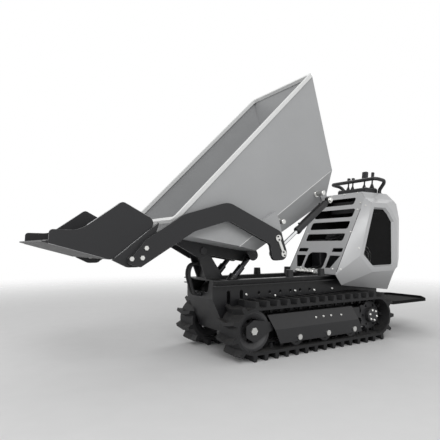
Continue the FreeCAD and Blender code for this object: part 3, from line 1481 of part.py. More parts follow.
def rear_platform():
    """Folding operator platform: a plate with turned-up rims, cropped corners and hinge knuckles."""
    front = platform_hinge_x - platform_gap
    rear = platform_hinge_x - platform_length
    half = platform_half_width
    z = platform_hinge_z - hinge_barrel_radius / 2
    line = [(front, -half), (rear + platform_corner, -half), (rear, platform_corner - half),
            (rear, half - platform_corner),
            (rear + platform_corner, half), (front, half)]
    plate = flat_solid(line, z, z + platform_plate)
    wall = platform_plate
    grown = flat_solid(line, z, z + platform_rim)
    corner = platform_corner - wall * 0.6
    inner_line = [(front + cut_over, wall - half), (rear + wall + corner, wall - half),
                  (rear + wall, wall + corner - half),
                  (rear + wall, half - wall - corner), (rear + wall + corner, half - wall),
                  (front + cut_over, half - wall)]
    rim = grown.cut(flat_solid(inner_line, z, z + platform_rim + cut_over))
    knuckles = []
    for start in (knuckle_inner_y, -knuckle_inner_y - knuckle_length):
        barrel = rod_y(platform_hinge_x, platform_hinge_z, hinge_barrel_radius, start,
                       start + knuckle_length)
        arm = side_solid([(platform_hinge_x, z), (front - platform_gap, z),
                          (front - platform_gap, z + platform_rim / 2),
                          (platform_hinge_x, platform_hinge_z + hinge_barrel_radius)],
                         start, start + knuckle_length)
        knuckles.append(one([barrel, arm]).cut(bore_y(platform_hinge_x, platform_hinge_z,
                                                      hinge_pin_radius + running_fit, start,
                                                      start + knuckle_length)))
    return one([plate, rim] + knuckles)


def chassis_hoses():
    """Pair of hydraulic hoses that loop from the web of the pivot stand to the front plate."""
    web_x = stand_base_front - stand_plate
    top = rail_top + deck_thickness + (pivot_z - stand_head_radius - rail_top) * hose_top_share
    foot = rail_top - front_notch_depth - hose_radius * 1.6
    hoses = []
    for y in (-hose_spread / 2, hose_spread / 2):
        path = [point(web_x, y, top), point(web_x + 2 * hose_loop_reach, y, top),
                point(web_x + 2 * hose_loop_reach + hose_loop_drop, y, top - 3 * hose_loop_drop),
                point(web_x + 1.6 * hose_loop_reach, y, foot), point(chassis_front_x, y, foot)]
        hoses.append(tube_path(path, hose_radius, bend_radii(path)))
    return hoses


def pieces():
    """Every sub-part by name, each a list of solids."""
    table = {
        "chassis_sides": chassis_sides(),
        "chassis_crossmembers": chassis_crossmembers(),
        "pivot_stand": [pivot_stand()],
        "skip_buffers": skip_buffers(),
        "drive_motors": both_sides([drive_motor()]),
        "idler_brackets": both_sides([idler_bracket()]),
        "wheel_axles": both_sides(wheel_axles()),
        "engine_block": [engine_block()],
        "recoil_starter": [recoil_starter()],
        "fuel_tank": [fuel_tank()],
        "hydraulic_tank": [hydraulic_tank()],
        "valve_block": [valve_block()],
        "front_grille": [front_grille()],
        "window_meshes": both_sides([window_mesh()]),
        "rear_panel": [rear_panel()],
        "top_cover": [top_cover()],
        "control_console": [control_console()],
        "handlebar": [handlebar()],
        "chassis_hoses": chassis_hoses(),
        "platform_pin": platform_pin(),
        "bucket": [bucket()],
        "bucket_bolts": bucket_bolts(),
        "arm_pins": arm_pins() + pin_keepers(),
        "tip_rods": tip_rods(),
        "tip_sleeves": tip_sleeves(),
        "tip_barrels": tip_barrels(),
        "rear_platform": [rear_platform()],
    }
    paired = {
        "track_frame": track_frame(), "rubber_track": rubber_track(), "side_guard": side_guard(),
        "side_cover": side_cover(), "idler": idler(), "sprocket": sprocket(), "loader_arm": arm_plate(),
        "loader_rod": loader_rod(), "loader_barrel": loader_barrel(),
    }
    for k, x in enumerate(roller_places):
        paired["roller_%d" % (k + 1)] = roller(x)
    for name, shape in paired.items():
        table["left_" + name] = [shape]
        table["right_" + name] = [other_side(shape)]
    tipped = {"skip_hopper": [skip_hopper()] + skip_pegs(), "skip_rim": [skip_rim()],
              "skip_cradle": skip_cradle(), "tipping_pin": [tipping_pin()],
              "loader_brackets": loader_brackets()}
    for name, shapes in tipped.items():
        for shape in shapes:
            shape.Placement = tip_place.multiply(shape.Placement)
        table[name] = shapes
    for name, sizes in lever_table.items():
        table[name] = [lever(*sizes)]
    return table


os.makedirs("parts", exist_ok=True)
for node, solids in pieces().items():
    shape = solids[0] if len(solids) == 1 else Part.makeCompound(solids)
    shape.exportStep("parts/%s.step" % node)
    print(node, len(shape.Solids), round(shape.Volume), shape.isValid())
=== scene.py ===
import json
import math

import bmesh
import bpy
from bpy.props import FloatProperty, FloatVectorProperty, IntProperty, PointerProperty
from bpy.types import Operator, Panel, PropertyGroup
from mathutils import Matrix, Vector
from mathutils.bvhtree import BVHTree


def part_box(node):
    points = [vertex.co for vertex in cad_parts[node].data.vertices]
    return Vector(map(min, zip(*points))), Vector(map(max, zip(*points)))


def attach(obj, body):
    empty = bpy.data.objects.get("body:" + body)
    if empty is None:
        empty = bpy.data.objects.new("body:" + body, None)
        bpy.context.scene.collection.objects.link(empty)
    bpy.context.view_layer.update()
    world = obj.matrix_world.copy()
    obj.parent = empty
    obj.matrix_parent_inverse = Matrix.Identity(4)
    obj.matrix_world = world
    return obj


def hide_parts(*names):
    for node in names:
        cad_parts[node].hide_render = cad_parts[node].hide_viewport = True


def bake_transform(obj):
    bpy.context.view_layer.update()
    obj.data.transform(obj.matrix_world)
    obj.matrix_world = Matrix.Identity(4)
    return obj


bl_info = {
    "name": "Tracked Power Carrier",
    "version": (1, 0, 0),
    "blender": (4, 5, 0),
    "location": "3D View > Sidebar > Carrier",
    "description": "Finishes and small fittings of a tracked carrier with a tipping skip and a loader bucket",
    "category": "Object",
}

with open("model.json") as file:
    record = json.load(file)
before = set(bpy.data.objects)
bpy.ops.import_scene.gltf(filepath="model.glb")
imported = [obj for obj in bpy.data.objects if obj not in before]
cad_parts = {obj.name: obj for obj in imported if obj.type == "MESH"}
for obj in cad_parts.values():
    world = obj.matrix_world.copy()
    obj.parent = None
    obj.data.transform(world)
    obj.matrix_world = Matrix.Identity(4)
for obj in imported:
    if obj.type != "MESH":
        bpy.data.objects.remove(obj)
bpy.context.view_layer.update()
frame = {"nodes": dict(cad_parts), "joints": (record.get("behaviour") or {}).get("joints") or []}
nodes = frame["nodes"]

SIDES = {"left": 1, "right": -1}
UP = (0, 0, 1)
DOWN = (0, 0, -1)
# How far outside the machine the lines start that look for a face.
AWAY = 0.7

COLOURS = (
    ("chassis_paint", "Powder coat of the chassis, guards and stand", (0.0095, 0.0095, 0.0108)),
    ("loader_paint", "Powder coat of the arms and bucket", (0.0165, 0.0167, 0.0182)),
    ("skip_paint", "Satin paint of the skip", (0.37, 0.375, 0.38)),
    ("cover_paint", "Paint of the engine covers and grille", (0.50, 0.504, 0.51)),
    ("rim_paint", "Paint of the bar round the skip", (0.74, 0.745, 0.74)),
    ("rubber", "Tracks, hoses and buffers", (0.017, 0.017, 0.018)),
    ("plastic", "Console, levers and rear panel", (0.016, 0.016, 0.018)),
    ("zinc", "Plated bolts and pins", (0.72, 0.72, 0.70)),
    ("chrome", "Polished cylinder rods", (0.83, 0.84, 0.85)),
    ("dark_rod", "Burnished sleeves and rods of the tipping cylinders", (0.07, 0.07, 0.075)),
    ("cast_iron", "Wheels, sprockets and motors", (0.03, 0.03, 0.032)),
    # Near black as painted shade of the engine inside the housing.
    ("engine_alloy", "Cast crankcase and cylinder", (0.022, 0.022, 0.024)),
    # Light edge colour: rubbed paint, and also a painted highlight along edges.
    ("worn_and_glinting_edge", "Bare metal where dark paint has rubbed off", (0.20, 0.20, 0.205)),
    ("dust", "Dry dust on upward faces", (0.16, 0.15, 0.135)),
)
LENGTHS = (
    # Band along edges: rubbed paint, and also a painted highlight.
    ("wear_width", "Width of the rubbed band along edges", 0.0016),
    ("cover_bolt", "Flange radius of the bolts in the covers", 0.0078),
    ("frame_bolt", "Flange radius of the bolts in the chassis and guards", 0.0085),
    ("hub_bolt", "Flange radius of the bolts in the wheel hubs", 0.0088),
    ("hub_circle", "Radius of the bolt circle on a sprocket hub", 0.036),
    ("keeper_bolt", "Head radius of the bolts in the pin keepers", 0.0052),
    ("mesh_pitch", "Distance between holes in the window sheets", 0.0082),
    ("mesh_hole", "Radius of the holes in the window sheets", 0.0034),
    ("mesh_sheet", "Thickness of the window sheets", 0.0016),
    ("bead_width", "Width of a weld bead", 0.0062),
    ("bead_step", "Distance between ripples of a weld bead", 0.0045),
    ("seam_radius", "Radius of the raised fold line on the skip", 0.0024),
    ("boot_radius", "Foot radius of a lever boot", 0.021),
    ("boot_height", "Height of a lever boot", 0.036),
    ("hose_radius", "Radius of the manifold hoses", 0.0075),
)


def millimetres(*values):
    """A place given in millimetres, in metres."""
    return Vector([value / 1000 for value in values])


def label(name):
    return name.replace("_", " ").title()


class CarrierColours(PropertyGroup):
    """Paint, metal and rubber colours of the carrier."""

    __annotations__ = {
        name: FloatVectorProperty(name=label(name), description=about, subtype="COLOR", size=3, min=0, max=1,
                                  default=value) for name, about, value in COLOURS}


class CarrierSizes(PropertyGroup):
    """Sizes of the small fittings."""

    __annotations__ = {
        name: FloatProperty(name=label(name), description=about, unit="LENGTH", min=0, default=value)
        for name, about, value in LENGTHS}
    hub_count: IntProperty(name="Hub Count", description="Bolts in each sprocket hub", min=3, default=6)


def colours():
    return bpy.context.scene.carrier_colours


def sizes():
    return bpy.context.scene.carrier_sizes


def opaque(colour):
    """A colour with full cover, given by its name in the add-on, by three numbers or by one for a grey."""
    if isinstance(colour, str):
        colour = getattr(colours(), colour)
    return (*((colour,) * 3 if isinstance(colour, float) else colour), 1)


def add_node(tree, kind, settings=(), sockets=()):
    """A node with its settings, its values and the links that run into it."""
    node = tree.nodes.new(kind)
    for key, value in dict(settings).items():
        setattr(node, key, value)
    for key, value in dict(sockets).items():
        if isinstance(value, bpy.types.NodeSocket):
            tree.links.new(value, node.inputs[key])
        else:
            node.inputs[key].default_value = value
    return node


def number_math(operation, first, second=None):
    """The first value of this and the helpers below is a socket, and their node joins its tree."""
    values = {0: first} if second is None else {0: first, 1: second}
    return add_node(first.id_data, "ShaderNodeMath", {"operation": operation}, values).outputs[0]


def product(first, second):
    return number_math("MULTIPLY", first, second)


def swing(value, spread):
    """Spread times how far a noise stands from its middle."""
    return product(spread, number_math("SUBTRACT", value, 0.5))


def vector_math(operation, first, second=None):
    """A vector, or a number where the operation measures."""
    values = {0: first}
    if second is not None:
        values["Scale" if operation == "SCALE" else 1] = second
    node = add_node(first.id_data, "ShaderNodeVectorMath", {"operation": operation}, values)
    return node.outputs["Value" if operation in ("DOT_PRODUCT", "DISTANCE", "LENGTH") else "Vector"]


def blend_colour(factor, first, second):
    return add_node(factor.id_data, "ShaderNodeMix", {"data_type": "RGBA"},
                    {0: factor, 6: first, 7: second}).outputs[2]


def graded(value, low, high, to_low=0.0, to_high=1.0, way="LINEAR"):
    return add_node(value.id_data, "ShaderNodeMapRange", {"interpolation_type": way},
                    {0: value, 1: low, 2: high, 3: to_low, 4: to_high}).outputs[0]


def noise(place, scale, detail=2.0):
    return add_node(place.id_data, "ShaderNodeTexNoise", {},
                    {"Vector": place, "Scale": scale, "Detail": detail}).outputs[0]


def object_place(tree):
    return add_node(tree, "ShaderNodeTexCoord").outputs["Object"]


def face_normal(tree):
    return add_node(tree, "ShaderNodeNewGeometry").outputs["Normal"]


def split(vector):
    return add_node(vector.id_data, "ShaderNodeSeparateXYZ", {}, {0: vector}).outputs


def combined(x, y, z):
    return add_node(x.id_data, "ShaderNodeCombineXYZ", {}, {0: x, 1: y, 2: z}).outputs[0]


def add_socket(tree, title, way):
    """A colour socket where the title ends in Colour, or else a number's."""
    kind = "NodeSocketColor" if title.endswith("Colour") else "NodeSocketFloat"
    return tree.interface.new_socket(title, in_out=way, socket_type=kind)


def new_group(name, inputs, outputs):
    tree = bpy.data.node_groups.new(name, "ShaderNodeTree")
    for title, value in inputs.items():
        add_socket(tree, title, "INPUT").default_value = value
    for title in outputs:
        add_socket(tree, title, "OUTPUT")
    return tree, tree.nodes.new("NodeGroupInput").outputs


FACE_OUTPUTS = ("Colour", "Roughness", "Height")


def build_edge_wear_and_glint():
    """Mask that is 1 on outer edges and 0 on flat faces, for rubbed paint and for a painted highlight along
    the edges.
    """
    tree, given = new_group("Edge Wear", {"Width": 0.0015, "Breakup": 60.0}, ("Mask",))
    rounded = add_node(tree, "ShaderNodeBevel", {"samples": 4}, {"Radius": given["Width"]}).outputs[0]
    edge = graded(vector_math("DOT_PRODUCT", rounded, face_normal(tree)), 0.985, 0.86)
    patchy = graded(noise(object_place(tree), given["Breakup"], 4.0), 0.38, 0.62, 0.25, 1.0)
    add_node(tree, "NodeGroupOutput", {}, {"Mask": product(edge, patchy)})
    return tree


def build_coated_face(wear_and_glint_tree):
    """Paint or rubber: slow tone drift, fine grain, dust on top, and rubbed edges that are also painted
    highlights.
    """
    tree, given = new_group("Coated Face", {
        "Colour": opaque(0.5), "Worn And Glint Colour": opaque(0.6), "Dust Colour": opaque(0.2),
        "Drift": 0.1, "Grain": 600.0, "Wear Width": 0.0015, "Wear And Glint": 0.5, "Dust": 0.2, "Rough": 0.4,
        "Rough Spread": 0.15}, FACE_OUTPUTS)
    place = object_place(tree)
    slow = noise(place, 2.6, 3.0)
    patch = noise(place, 31.0, 5.0)
    fine = noise(place, given["Grain"])
    level = number_math("ADD", product(swing(slow, given["Drift"]), 2.0), 1.0)
    speck = graded(fine, 0.3, 0.7, 0.96, 1.04)
    tone = vector_math("SCALE", given["Colour"], product(level, speck))
    upward = graded(split(face_normal(tree))[2], 0.1, 1.0)
    dusty = product(product(upward, graded(patch, 0.35, 0.7)), given["Dust"])
    covered = blend_colour(dusty, tone, given["Dust Colour"])
    wear_and_glint = add_node(tree, "ShaderNodeGroup", {"node_tree": wear_and_glint_tree}, {"Width": given["Wear Width"]})
    # Painted highlight: the rubbed band along edges also stands in for the light that edges catch.
    rubbed_and_glinting = product(wear_and_glint.outputs[0], given["Wear And Glint"])
    rough = number_math("ADD", given["Rough"], swing(patch, given["Rough Spread"]))
    add_node(tree, "NodeGroupOutput", {}, {
        "Colour": blend_colour(rubbed_and_glinting, covered, given["Worn And Glint Colour"]),
        "Roughness": number_math("ADD", rough, product(dusty, 0.3)),
        "Height": number_math("ADD", fine, product(patch, 0.4))})


def build_bare_metal():
    """Bare metal with a fine grain and a slow change of tone."""
    tree, given = new_group("Bare Metal", {
        "Colour": opaque(0.6), "Lines": 160.0, "Rough": 0.3, "Rough Spread": 0.2}, FACE_OUTPUTS)
    place = object_place(tree)
    lines = noise(place, given["Lines"], 3.0)
    slow = noise(place, 24.0, 3.0)
    level = product(graded(lines, 0.3, 0.7, 0.9, 1.08), graded(slow, 0.3, 0.7, 0.9, 1.05))
    rough = number_math("ADD", given["Rough"], swing(lines, given["Rough Spread"]))
    add_node(tree, "NodeGroupOutput", {}, {
        "Colour": vector_math("SCALE", given["Colour"], level), "Roughness": rough, "Height": lines})


def new_tree(owner):
    owner.use_nodes = True
    owner.node_tree.nodes.clear()
    return owner.node_tree


def faced(name, group, values, strength, depth, surface):
    """A material whose colour, roughness and bump come from one of the shader groups."""
    tree = new_tree(bpy.data.materials.new(name))
    face = add_node(tree, "ShaderNodeGroup", {"node_tree": bpy.data.node_groups[group]}, values).outputs
    bump = add_node(tree, "ShaderNodeBump", {},
                    {"Strength": strength, "Distance": depth, "Height": face["Height"]})
    shader = add_node(tree, "ShaderNodeBsdfPrincipled", {}, {
        "Base Color": face["Colour"], "Roughness": face["Roughness"], "Normal": bump.outputs[0], **surface})
    add_node(tree, "ShaderNodeOutputMaterial", {}, {0: shader.outputs[0]})
    return tree, shader.inputs


def coated(name, colour, worn_and_glint, rough, drift, grain, wear_and_glint, dust, strength, depth, sheen):
    """Painted, moulded or rubber surface."""
    return faced(name, "Coated Face", {
        "Colour": opaque(colour), "Worn And Glint Colour": opaque(worn_and_glint), "Dust Colour": opaque("dust"),
        "Drift": drift, "Grain": grain, "Wear Width": sizes().wear_width, "Wear And Glint": wear_and_glint, "Dust": dust,
        "Rough": rough}, strength, depth, {"Specular IOR Level": sheen})


def bare(name, colour, rough, lines, strength):
    """Unpainted metal."""
    values = {"Colour": opaque(colour), "Lines": lines, "Rough": rough}
    faced(name, "Bare Metal", values, strength, BARE_DEPTH, {"Metallic": 1.0})


# Colour, worn and glint colour, roughness, drift, grain, wear and glint, dust, strength and depth of bump,
# sheen.
COATINGS = {
    "Chassis Paint": ("chassis_paint", "worn_and_glinting_edge", 0.42, 0.18, 600.0, 0.35, 0.14, 0.25, 0.0004, 0.5),
    "Loader Paint": ("loader_paint", (0.40, 0.40, 0.405), 0.44, 0.14, 600.0, 0.85, 0.05, 0.25, 0.0004, 0.38),
    "Skip Paint": ("skip_paint", (0.66, 0.665, 0.67), 0.36, 0.08, 800.0, 0.45, 0.03, 0.15, 0.0003, 0.5),
    "Cover Paint": ("cover_paint", (0.74, 0.745, 0.75), 0.42, 0.05, 900.0, 0.35, 0.02, 0.12, 0.0002, 0.5),
    "Rim Paint": ("rim_paint", 0.82, 0.32, 0.05, 900.0, 0.4, 0.03, 0.12, 0.0002, 0.5),
    "Tank Paint": ((0.05, 0.05, 0.055), "worn_and_glinting_edge", 0.35, 0.1, 600.0, 0.2, 0.05, 0.25, 0.0004, 0.5),
    "Track Rubber": ("rubber", (0.045, 0.044, 0.043), 0.62, 0.3, 380.0, 0.5, 0.18, 0.5, 0.0008, 0.3),
    "Hose Rubber": ("rubber", 0.03, 0.5, 0.15, 900.0, 0.2, 0.05, 0.3, 0.0003, 0.4),
    "Moulded Plastic": ("plastic", (0.05, 0.05, 0.052), 0.48, 0.1, 1400.0, 0.3, 0.06, 0.3, 0.0003, 0.4),
    # Near-black gauze that stands in for the shade inside the housing.
    "Gauze": (0.006, 0.01, 0.8, 0.2, 1800.0, 0.1, 0.0, 0.4, 0.0004, 0.2),
    "Window Mesh": ((0.008, 0.008, 0.0085), 0.03, 0.6, 0.2, 900.0, 0.2, 0.02, 0.3, 0.0003, 0.15),
    "Grip Mat": (0.011, 0.05, 0.9, 0.3, 420.0, 0.4, 0.1, 0.7, 0.0012, 0.1),
    "Cast Iron": ("cast_iron", (0.16, 0.16, 0.162), 0.5, 0.25, 260.0, 0.5, 0.22, 0.5, 0.0008, 0.5),
    # Near black as painted shade inside the housing, with light edges that are partly painted highlights.
    "Engine Alloy": ("engine_alloy", (0.42, 0.42, 0.425), 0.5, 0.3, 520.0, 0.9, 0.05, 0.5, 0.0006, 0.3),
}
# Colour, roughness, grain, strength of bump.
METALS = {
    "Zinc Plate": ("zinc", 0.30, 420.0, 0.12),
    "Chrome Rod": ("chrome", 0.12, 240.0, 0.05),
    "Dark Rod": ("dark_rod", 0.28, 240.0, 0.05),
    # Bright metal for painted highlights along the bucket's plate edges.
    "Weld Line": ((0.34, 0.34, 0.345), 0.42, 420.0, 0.12),
    "Blackened Bolt": ((0.05, 0.05, 0.052), 0.4, 420.0, 0.12),
}
BARE_DEPTH = 0.0002


HOUSING_MIDDLE = millimetres(-790, 0, 700)
SIDE_COVER_Y = 0.2453
INWARD_LIMIT = -0.015
# Near-black painted shade on the covers' faces that look inward into the housing.
INSIDE_SHADE_GRAIN = 300.0
INSIDE_SHADE_GREYS = (0.004, 0.016)
# Painted shade: the covers darken towards the bottom.
LOW_SHADE_HEIGHTS = (0.36, 0.60)
LOW_SHADE_SHARE = 0.6
LOW_SHADE_COLOUR = (0.15, 0.15, 0.152)
COVER_METAL = 0.15


def finish_covers(tree, surface):
    """Paints shade on the covers, darker towards the bottom, and near-black painted shade on their faces that
    look inward into the housing.
    """
    surface["Metallic"].default_value = COVER_METAL
    place = object_place(tree)
    parts = split(place)
    between = number_math("LESS_THAN", number_math("ABSOLUTE", parts[1]), SIDE_COVER_Y)
    away = vector_math("MULTIPLY", vector_math("SUBTRACT", place, HOUSING_MIDDLE),
                       combined(between, 1.0, between))
    turned = vector_math("DOT_PRODUCT", away, face_normal(tree))
    inside = number_math("LESS_THAN", turned, INWARD_LIMIT)
    # Painted shade: faces turned into the housing are near black.
    inside_shade = blend_colour(noise(place, INSIDE_SHADE_GRAIN, 3.0), *map(opaque, INSIDE_SHADE_GREYS))
    # Painted shade, darker towards the bottom of the covers.
    low_shade = graded(parts[2], *LOW_SHADE_HEIGHTS, LOW_SHADE_SHARE, 0.0, "SMOOTHSTEP")
    painted = blend_colour(low_shade, surface["Base Color"].links[0].from_socket, opaque(LOW_SHADE_COLOUR))
    tree.links.new(blend_colour(inside, painted, inside_shade), surface["Base Color"])
    rough = surface["Roughness"].links[0].from_socket
    tree.links.new(number_math("MAXIMUM", rough, inside), surface["Roughness"])


PEG_PLACES = (millimetres(139.9, 0, 820.0), millimetres(-204.8, 0, 1021.0))
PEG_RADIUS = 0.0136
PEG_PAINT_GAP = 0.001


def peg_wall(place):
    """How far out the skip's side wall stands beside a peg."""
    start = place + Vector((PEG_RADIUS * 1.5, AWAY, 0))
    return seat_on(("skip_hopper",), start, (0, -1, 0))[0].y


def bare_pegs(tree, surface):
    """Leaves the pegs on the skip's sides unpainted."""
    parts = split(object_place(tree))
    out = number_math("ABSOLUTE", parts[1])
    flat = combined(parts[0], 0.0, parts[2])
    masks = []
    for peg in PEG_PLACES:
        near = number_math("LESS_THAN", vector_math("DISTANCE", flat, peg), PEG_RADIUS)
        proud = number_math("GREATER_THAN", out, peg_wall(peg) - PEG_PAINT_GAP)
        masks.append(product(near, proud))
    mask = number_math("MAXIMUM", *masks)
    painted = surface["Base Color"].links[0].from_socket
    tree.links.new(blend_colour(mask, painted, opaque("zinc")), surface["Base Color"])
    tree.links.new(mask, surface["Metallic"])


FURTHER_COATS = {"Cover Paint": finish_covers, "Skip Paint": bare_pegs}


def build_finishes():
    """Every material of the carrier, under the name that its pieces use."""
    build_coated_face(build_edge_wear_and_glint())
    build_bare_metal()
    for name, values in COATINGS.items():
        painted = coated(name, *values)
        if name in FURTHER_COATS:
            FURTHER_COATS[name](*painted)
    for name, values in METALS.items():
        bare(name, *values)


def both(*names):
    """The left and the right one of each name."""
    return tuple(side + "_" + name for name in names for side in SIDES)


LEVER_NAMES = ("right_drive_lever", "left_drive_lever", "skip_lever", "loader_lever")
FINISH_OF = {
    "Chassis Paint": ("chassis_sides", "chassis_crossmembers", "pivot_stand", "idler_brackets", "handlebar",
                      "tip_barrels") + both("track_frame", "side_guard", "loader_barrel"),
    "Window Mesh": ("window_meshes",),
    "Grip Mat": ("rear_platform",),
    "Loader Paint": ("bucket", "loader_brackets", "skip_cradle") + both("loader_arm"),
    "Track Rubber": both("rubber_track"),
    "Hose Rubber": ("skip_buffers", "chassis_hoses"),
    "Zinc Plate": ("wheel_axles", "bucket_bolts", "arm_pins", "platform_pin", "valve_block"),
    "Chrome Rod": both("loader_rod"),
    "Dark Rod": ("tip_rods", "tip_sleeves"),
    "Cast Iron": ("tipping_pin", "drive_motors")
                 + both("idler", "sprocket", "roller_1", "roller_2", "roller_3"),
    "Engine Alloy": ("engine_block",),
    "Moulded Plastic": ("recoil_starter", "fuel_tank", "rear_panel", "control_console") + LEVER_NAMES,
    "Skip Paint": ("skip_hopper",),
    "Cover Paint": ("top_cover", "front_grille") + both("side_cover"),
    "Rim Paint": ("skip_rim",),
    "Tank Paint": ("hydraulic_tank",),
}


def dress_nodes():
    for finish, names in FINISH_OF.items():
        for name in names:
            slots = nodes[name].data.materials
            slots.clear()
            slots.append(bpy.data.materials[finish])


_surfaces = {}


def surface_of(name):
    """Search tree over one solid's faces."""
    if name not in _surfaces:
        mesh = nodes[name].data
        _surfaces[name] = BVHTree.FromPolygons([vert.co for vert in mesh.vertices],
                                               [face.vertices for face in mesh.polygons])
    return _surfaces[name]


def seat_on(names, start, way):
    """Where a straight line from start first meets one of the named solids, and the face's outward normal."""
    way = Vector(way).normalized()
    hits = []
    for name in names:
        place, normal, face, reach = surface_of(name).ray_cast(Vector(start), way)
        if place is not None:
            hits.append((reach, place, normal))
    if not hits:
        raise RuntimeError("no face of %s lies in line with %s" % (names, tuple(start)))
    reach, place, normal = min(hits, key=lambda hit: hit[0])
    return place, (normal if normal.dot(way) < 0 else -normal)


def seated(names, starts, way, size):
    """Seats of like fasteners, as (place, normal, size), where lines along one way meet the named solids."""
    return [(*seat_on(names, start, way), size) for start in starts]


def placed(name, data):
    thing = bpy.data.objects.new(name, data)
    bpy.context.scene.collection.objects.link(thing)
    return thing


def evaluated(carrier):
    """Final mesh of a helper object, which then goes."""
    reading = bpy.context.evaluated_depsgraph_get()
    mesh = bpy.data.meshes.new_from_object(carrier.evaluated_get(reading), depsgraph=reading)
    bpy.data.objects.remove(carrier)
    return mesh


def mesh_from(shape, smooth=False):
    bmesh.ops.recalc_face_normals(shape, faces=shape.faces)
    mesh = bpy.data.meshes.new("part")
    shape.to_mesh(mesh)
    shape.free()
    mesh.polygons.foreach_set("use_smooth", [smooth] * len(mesh.polygons))
    return mesh


def show(name, mesh, finish, body):
    """Puts a mesh or a shape on its body, or on none yet, with its material."""
    if isinstance(mesh, bmesh.types.BMesh):
        mesh = mesh_from(mesh)
    mesh.name = name
    mesh.materials.clear()
    mesh.materials.append(bpy.data.materials[finish])
    piece = placed(name, mesh)
    if body:
        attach(piece, body)
    return piece


def shape_of(name):
    """A copy of one solid's mesh, to be changed."""
    shape = bmesh.new()
    shape.from_mesh(nodes[name].data)
    return shape


def merge(shape, reach=1e-6):
    bmesh.ops.remove_doubles(shape, verts=shape.verts, dist=reach)


def add_revolved(shape, profile, base=(0, 0, 0), way=UP, count=20):
    """Adds a turned form: profile is (radius, height) from foot to top."""
    place = Matrix.Translation(Vector(base)) @ Vector(way).to_track_quat("Z", "Y").to_matrix().to_4x4()
    rings = []
    for radius, height in profile:
        turns = [math.tau * i / count for i in range(count if radius > 0 else 1)]
        ring = [Vector((radius * math.cos(turn), radius * math.sin(turn), height)) for turn in turns]
        rings.append([shape.verts.new(place @ corner) for corner in ring])
    for low, high in zip(rings, rings[1:]):
        for i in range(count):
            j = (i + 1) % count
            corners = [low[i % len(low)], low[j % len(low)], high[j % len(high)], high[i % len(high)]]
            shape.faces.new(list(dict.fromkeys(corners)))


def revolved(profiles, count):
    """Smooth turned forms, each given by its profile, base and way."""
    shape = bmesh.new()
    for profile, base, way in profiles:
        add_revolved(shape, profile, base, way, count)
    return mesh_from(shape, True)


def add_extruded(shape, outline, depth):
    """Adds a closed plate: an outline of places, thickened by a vector."""
    near = [shape.verts.new(place) for place in outline]
    far = [shape.verts.new(Vector(place) + depth) for place in outline]
    shape.faces.new(near)
    shape.faces.new(far[::-1])
    for i in range(len(outline)):
        j = (i + 1) % len(outline)
        shape.faces.new([near[j], near[i], far[i], far[j]])


def swept(lines, radius, resolution=4):
    """Round tubes along smooth lines, as one mesh."""
    curve = bpy.data.curves.new("route", "CURVE")
    curve.dimensions = "3D"
    curve.bevel_depth = radius
    curve.bevel_resolution = resolution
    curve.resolution_u = 8
    curve.use_fill_caps = True
    for line in lines:
        spline = curve.splines.new("NURBS")
        spline.points.add(len(line) - 1)
        for point, place in zip(spline.points, line):
            point.co = (*place, 1)
        spline.order_u = min(3, len(line))
        spline.use_endpoint_u = True
    mesh = evaluated(placed("route", curve))
    bpy.data.curves.remove(curve)
    shape = bmesh.new()
    shape.from_mesh(mesh)
    bpy.data.meshes.remove(mesh)
    merge(shape)
    return mesh_from(shape, True)


def new_geometry_tree(name, inputs=()):
    """A tree that sets copies of a pattern in a finish, by its own further inputs."""
    tree = bpy.data.node_groups.new(name, "GeometryNodeTree")
    for title, kind in (("Geometry", "Geometry"), ("Pattern", "Object"), ("Finish", "Material")) + inputs:
        tree.interface.new_socket(title, in_out="INPUT", socket_type="NodeSocket" + kind)
    tree.interface.new_socket("Geometry", in_out="OUTPUT", socket_type="NodeSocketGeometry")
    return tree, tree.nodes.new("NodeGroupInput").outputs


def geometry_of(thing):
    return add_node(thing.id_data, "GeometryNodeObjectInfo", {}, {"Object": thing}).outputs["Geometry"]


def close_tree(tree, given, points, sockets=()):
    """Ends a tree with its pattern on each point, as real geometry in its finish."""
    copies = add_node(tree, "GeometryNodeInstanceOnPoints", {}, {
        "Points": points, "Instance": geometry_of(given["Pattern"]), **dict(sockets)}).outputs[0]
    real = add_node(tree, "GeometryNodeRealizeInstances", {}, {0: copies}).outputs[0]
    dressed = add_node(tree, "GeometryNodeSetMaterial", {}, {"Geometry": real, "Material": given["Finish"]})
    add_node(tree, "NodeGroupOutput", {}, {"Geometry": dressed.outputs[0]})
    return tree


def attribute(tree, name, kind):
    return add_node(tree, "GeometryNodeInputNamedAttribute", {"data_type": kind}, {"Name": name}).outputs[0]


def facing(vector, axis="Z"):
    return add_node(vector.id_data, "FunctionNodeAlignRotationToVector", {"axis": axis},
                    {"Vector": vector}).outputs[0]


def build_fastener_setter():
    """Stands one fastener on each point, along its seat's normal and at its own size."""
    tree, given = new_geometry_tree("Fastener Setter")
    return close_tree(tree, given, given["Geometry"], {
        "Rotation": facing(attribute(tree, "seat_normal", "FLOAT_VECTOR")),
        "Scale": attribute(tree, "seat_size", "FLOAT")})


def build_bead_setter():
    """Lays overlapping drops along lines, as a weld bead."""
    tree, given = new_geometry_tree("Bead Setter", (("Step", "Float"), ("Width", "Float")))
    line = add_node(tree, "GeometryNodeMeshToCurve", {}, {"Mesh": given["Geometry"]}).outputs[0]
    points = add_node(tree, "GeometryNodeCurveToPoints", {"mode": "LENGTH"},
                      {"Curve": line, "Length": given["Step"]}).outputs
    return close_tree(tree, given, points["Points"], {
        "Rotation": facing(points["Tangent"], "X"), "Scale": given["Width"]})


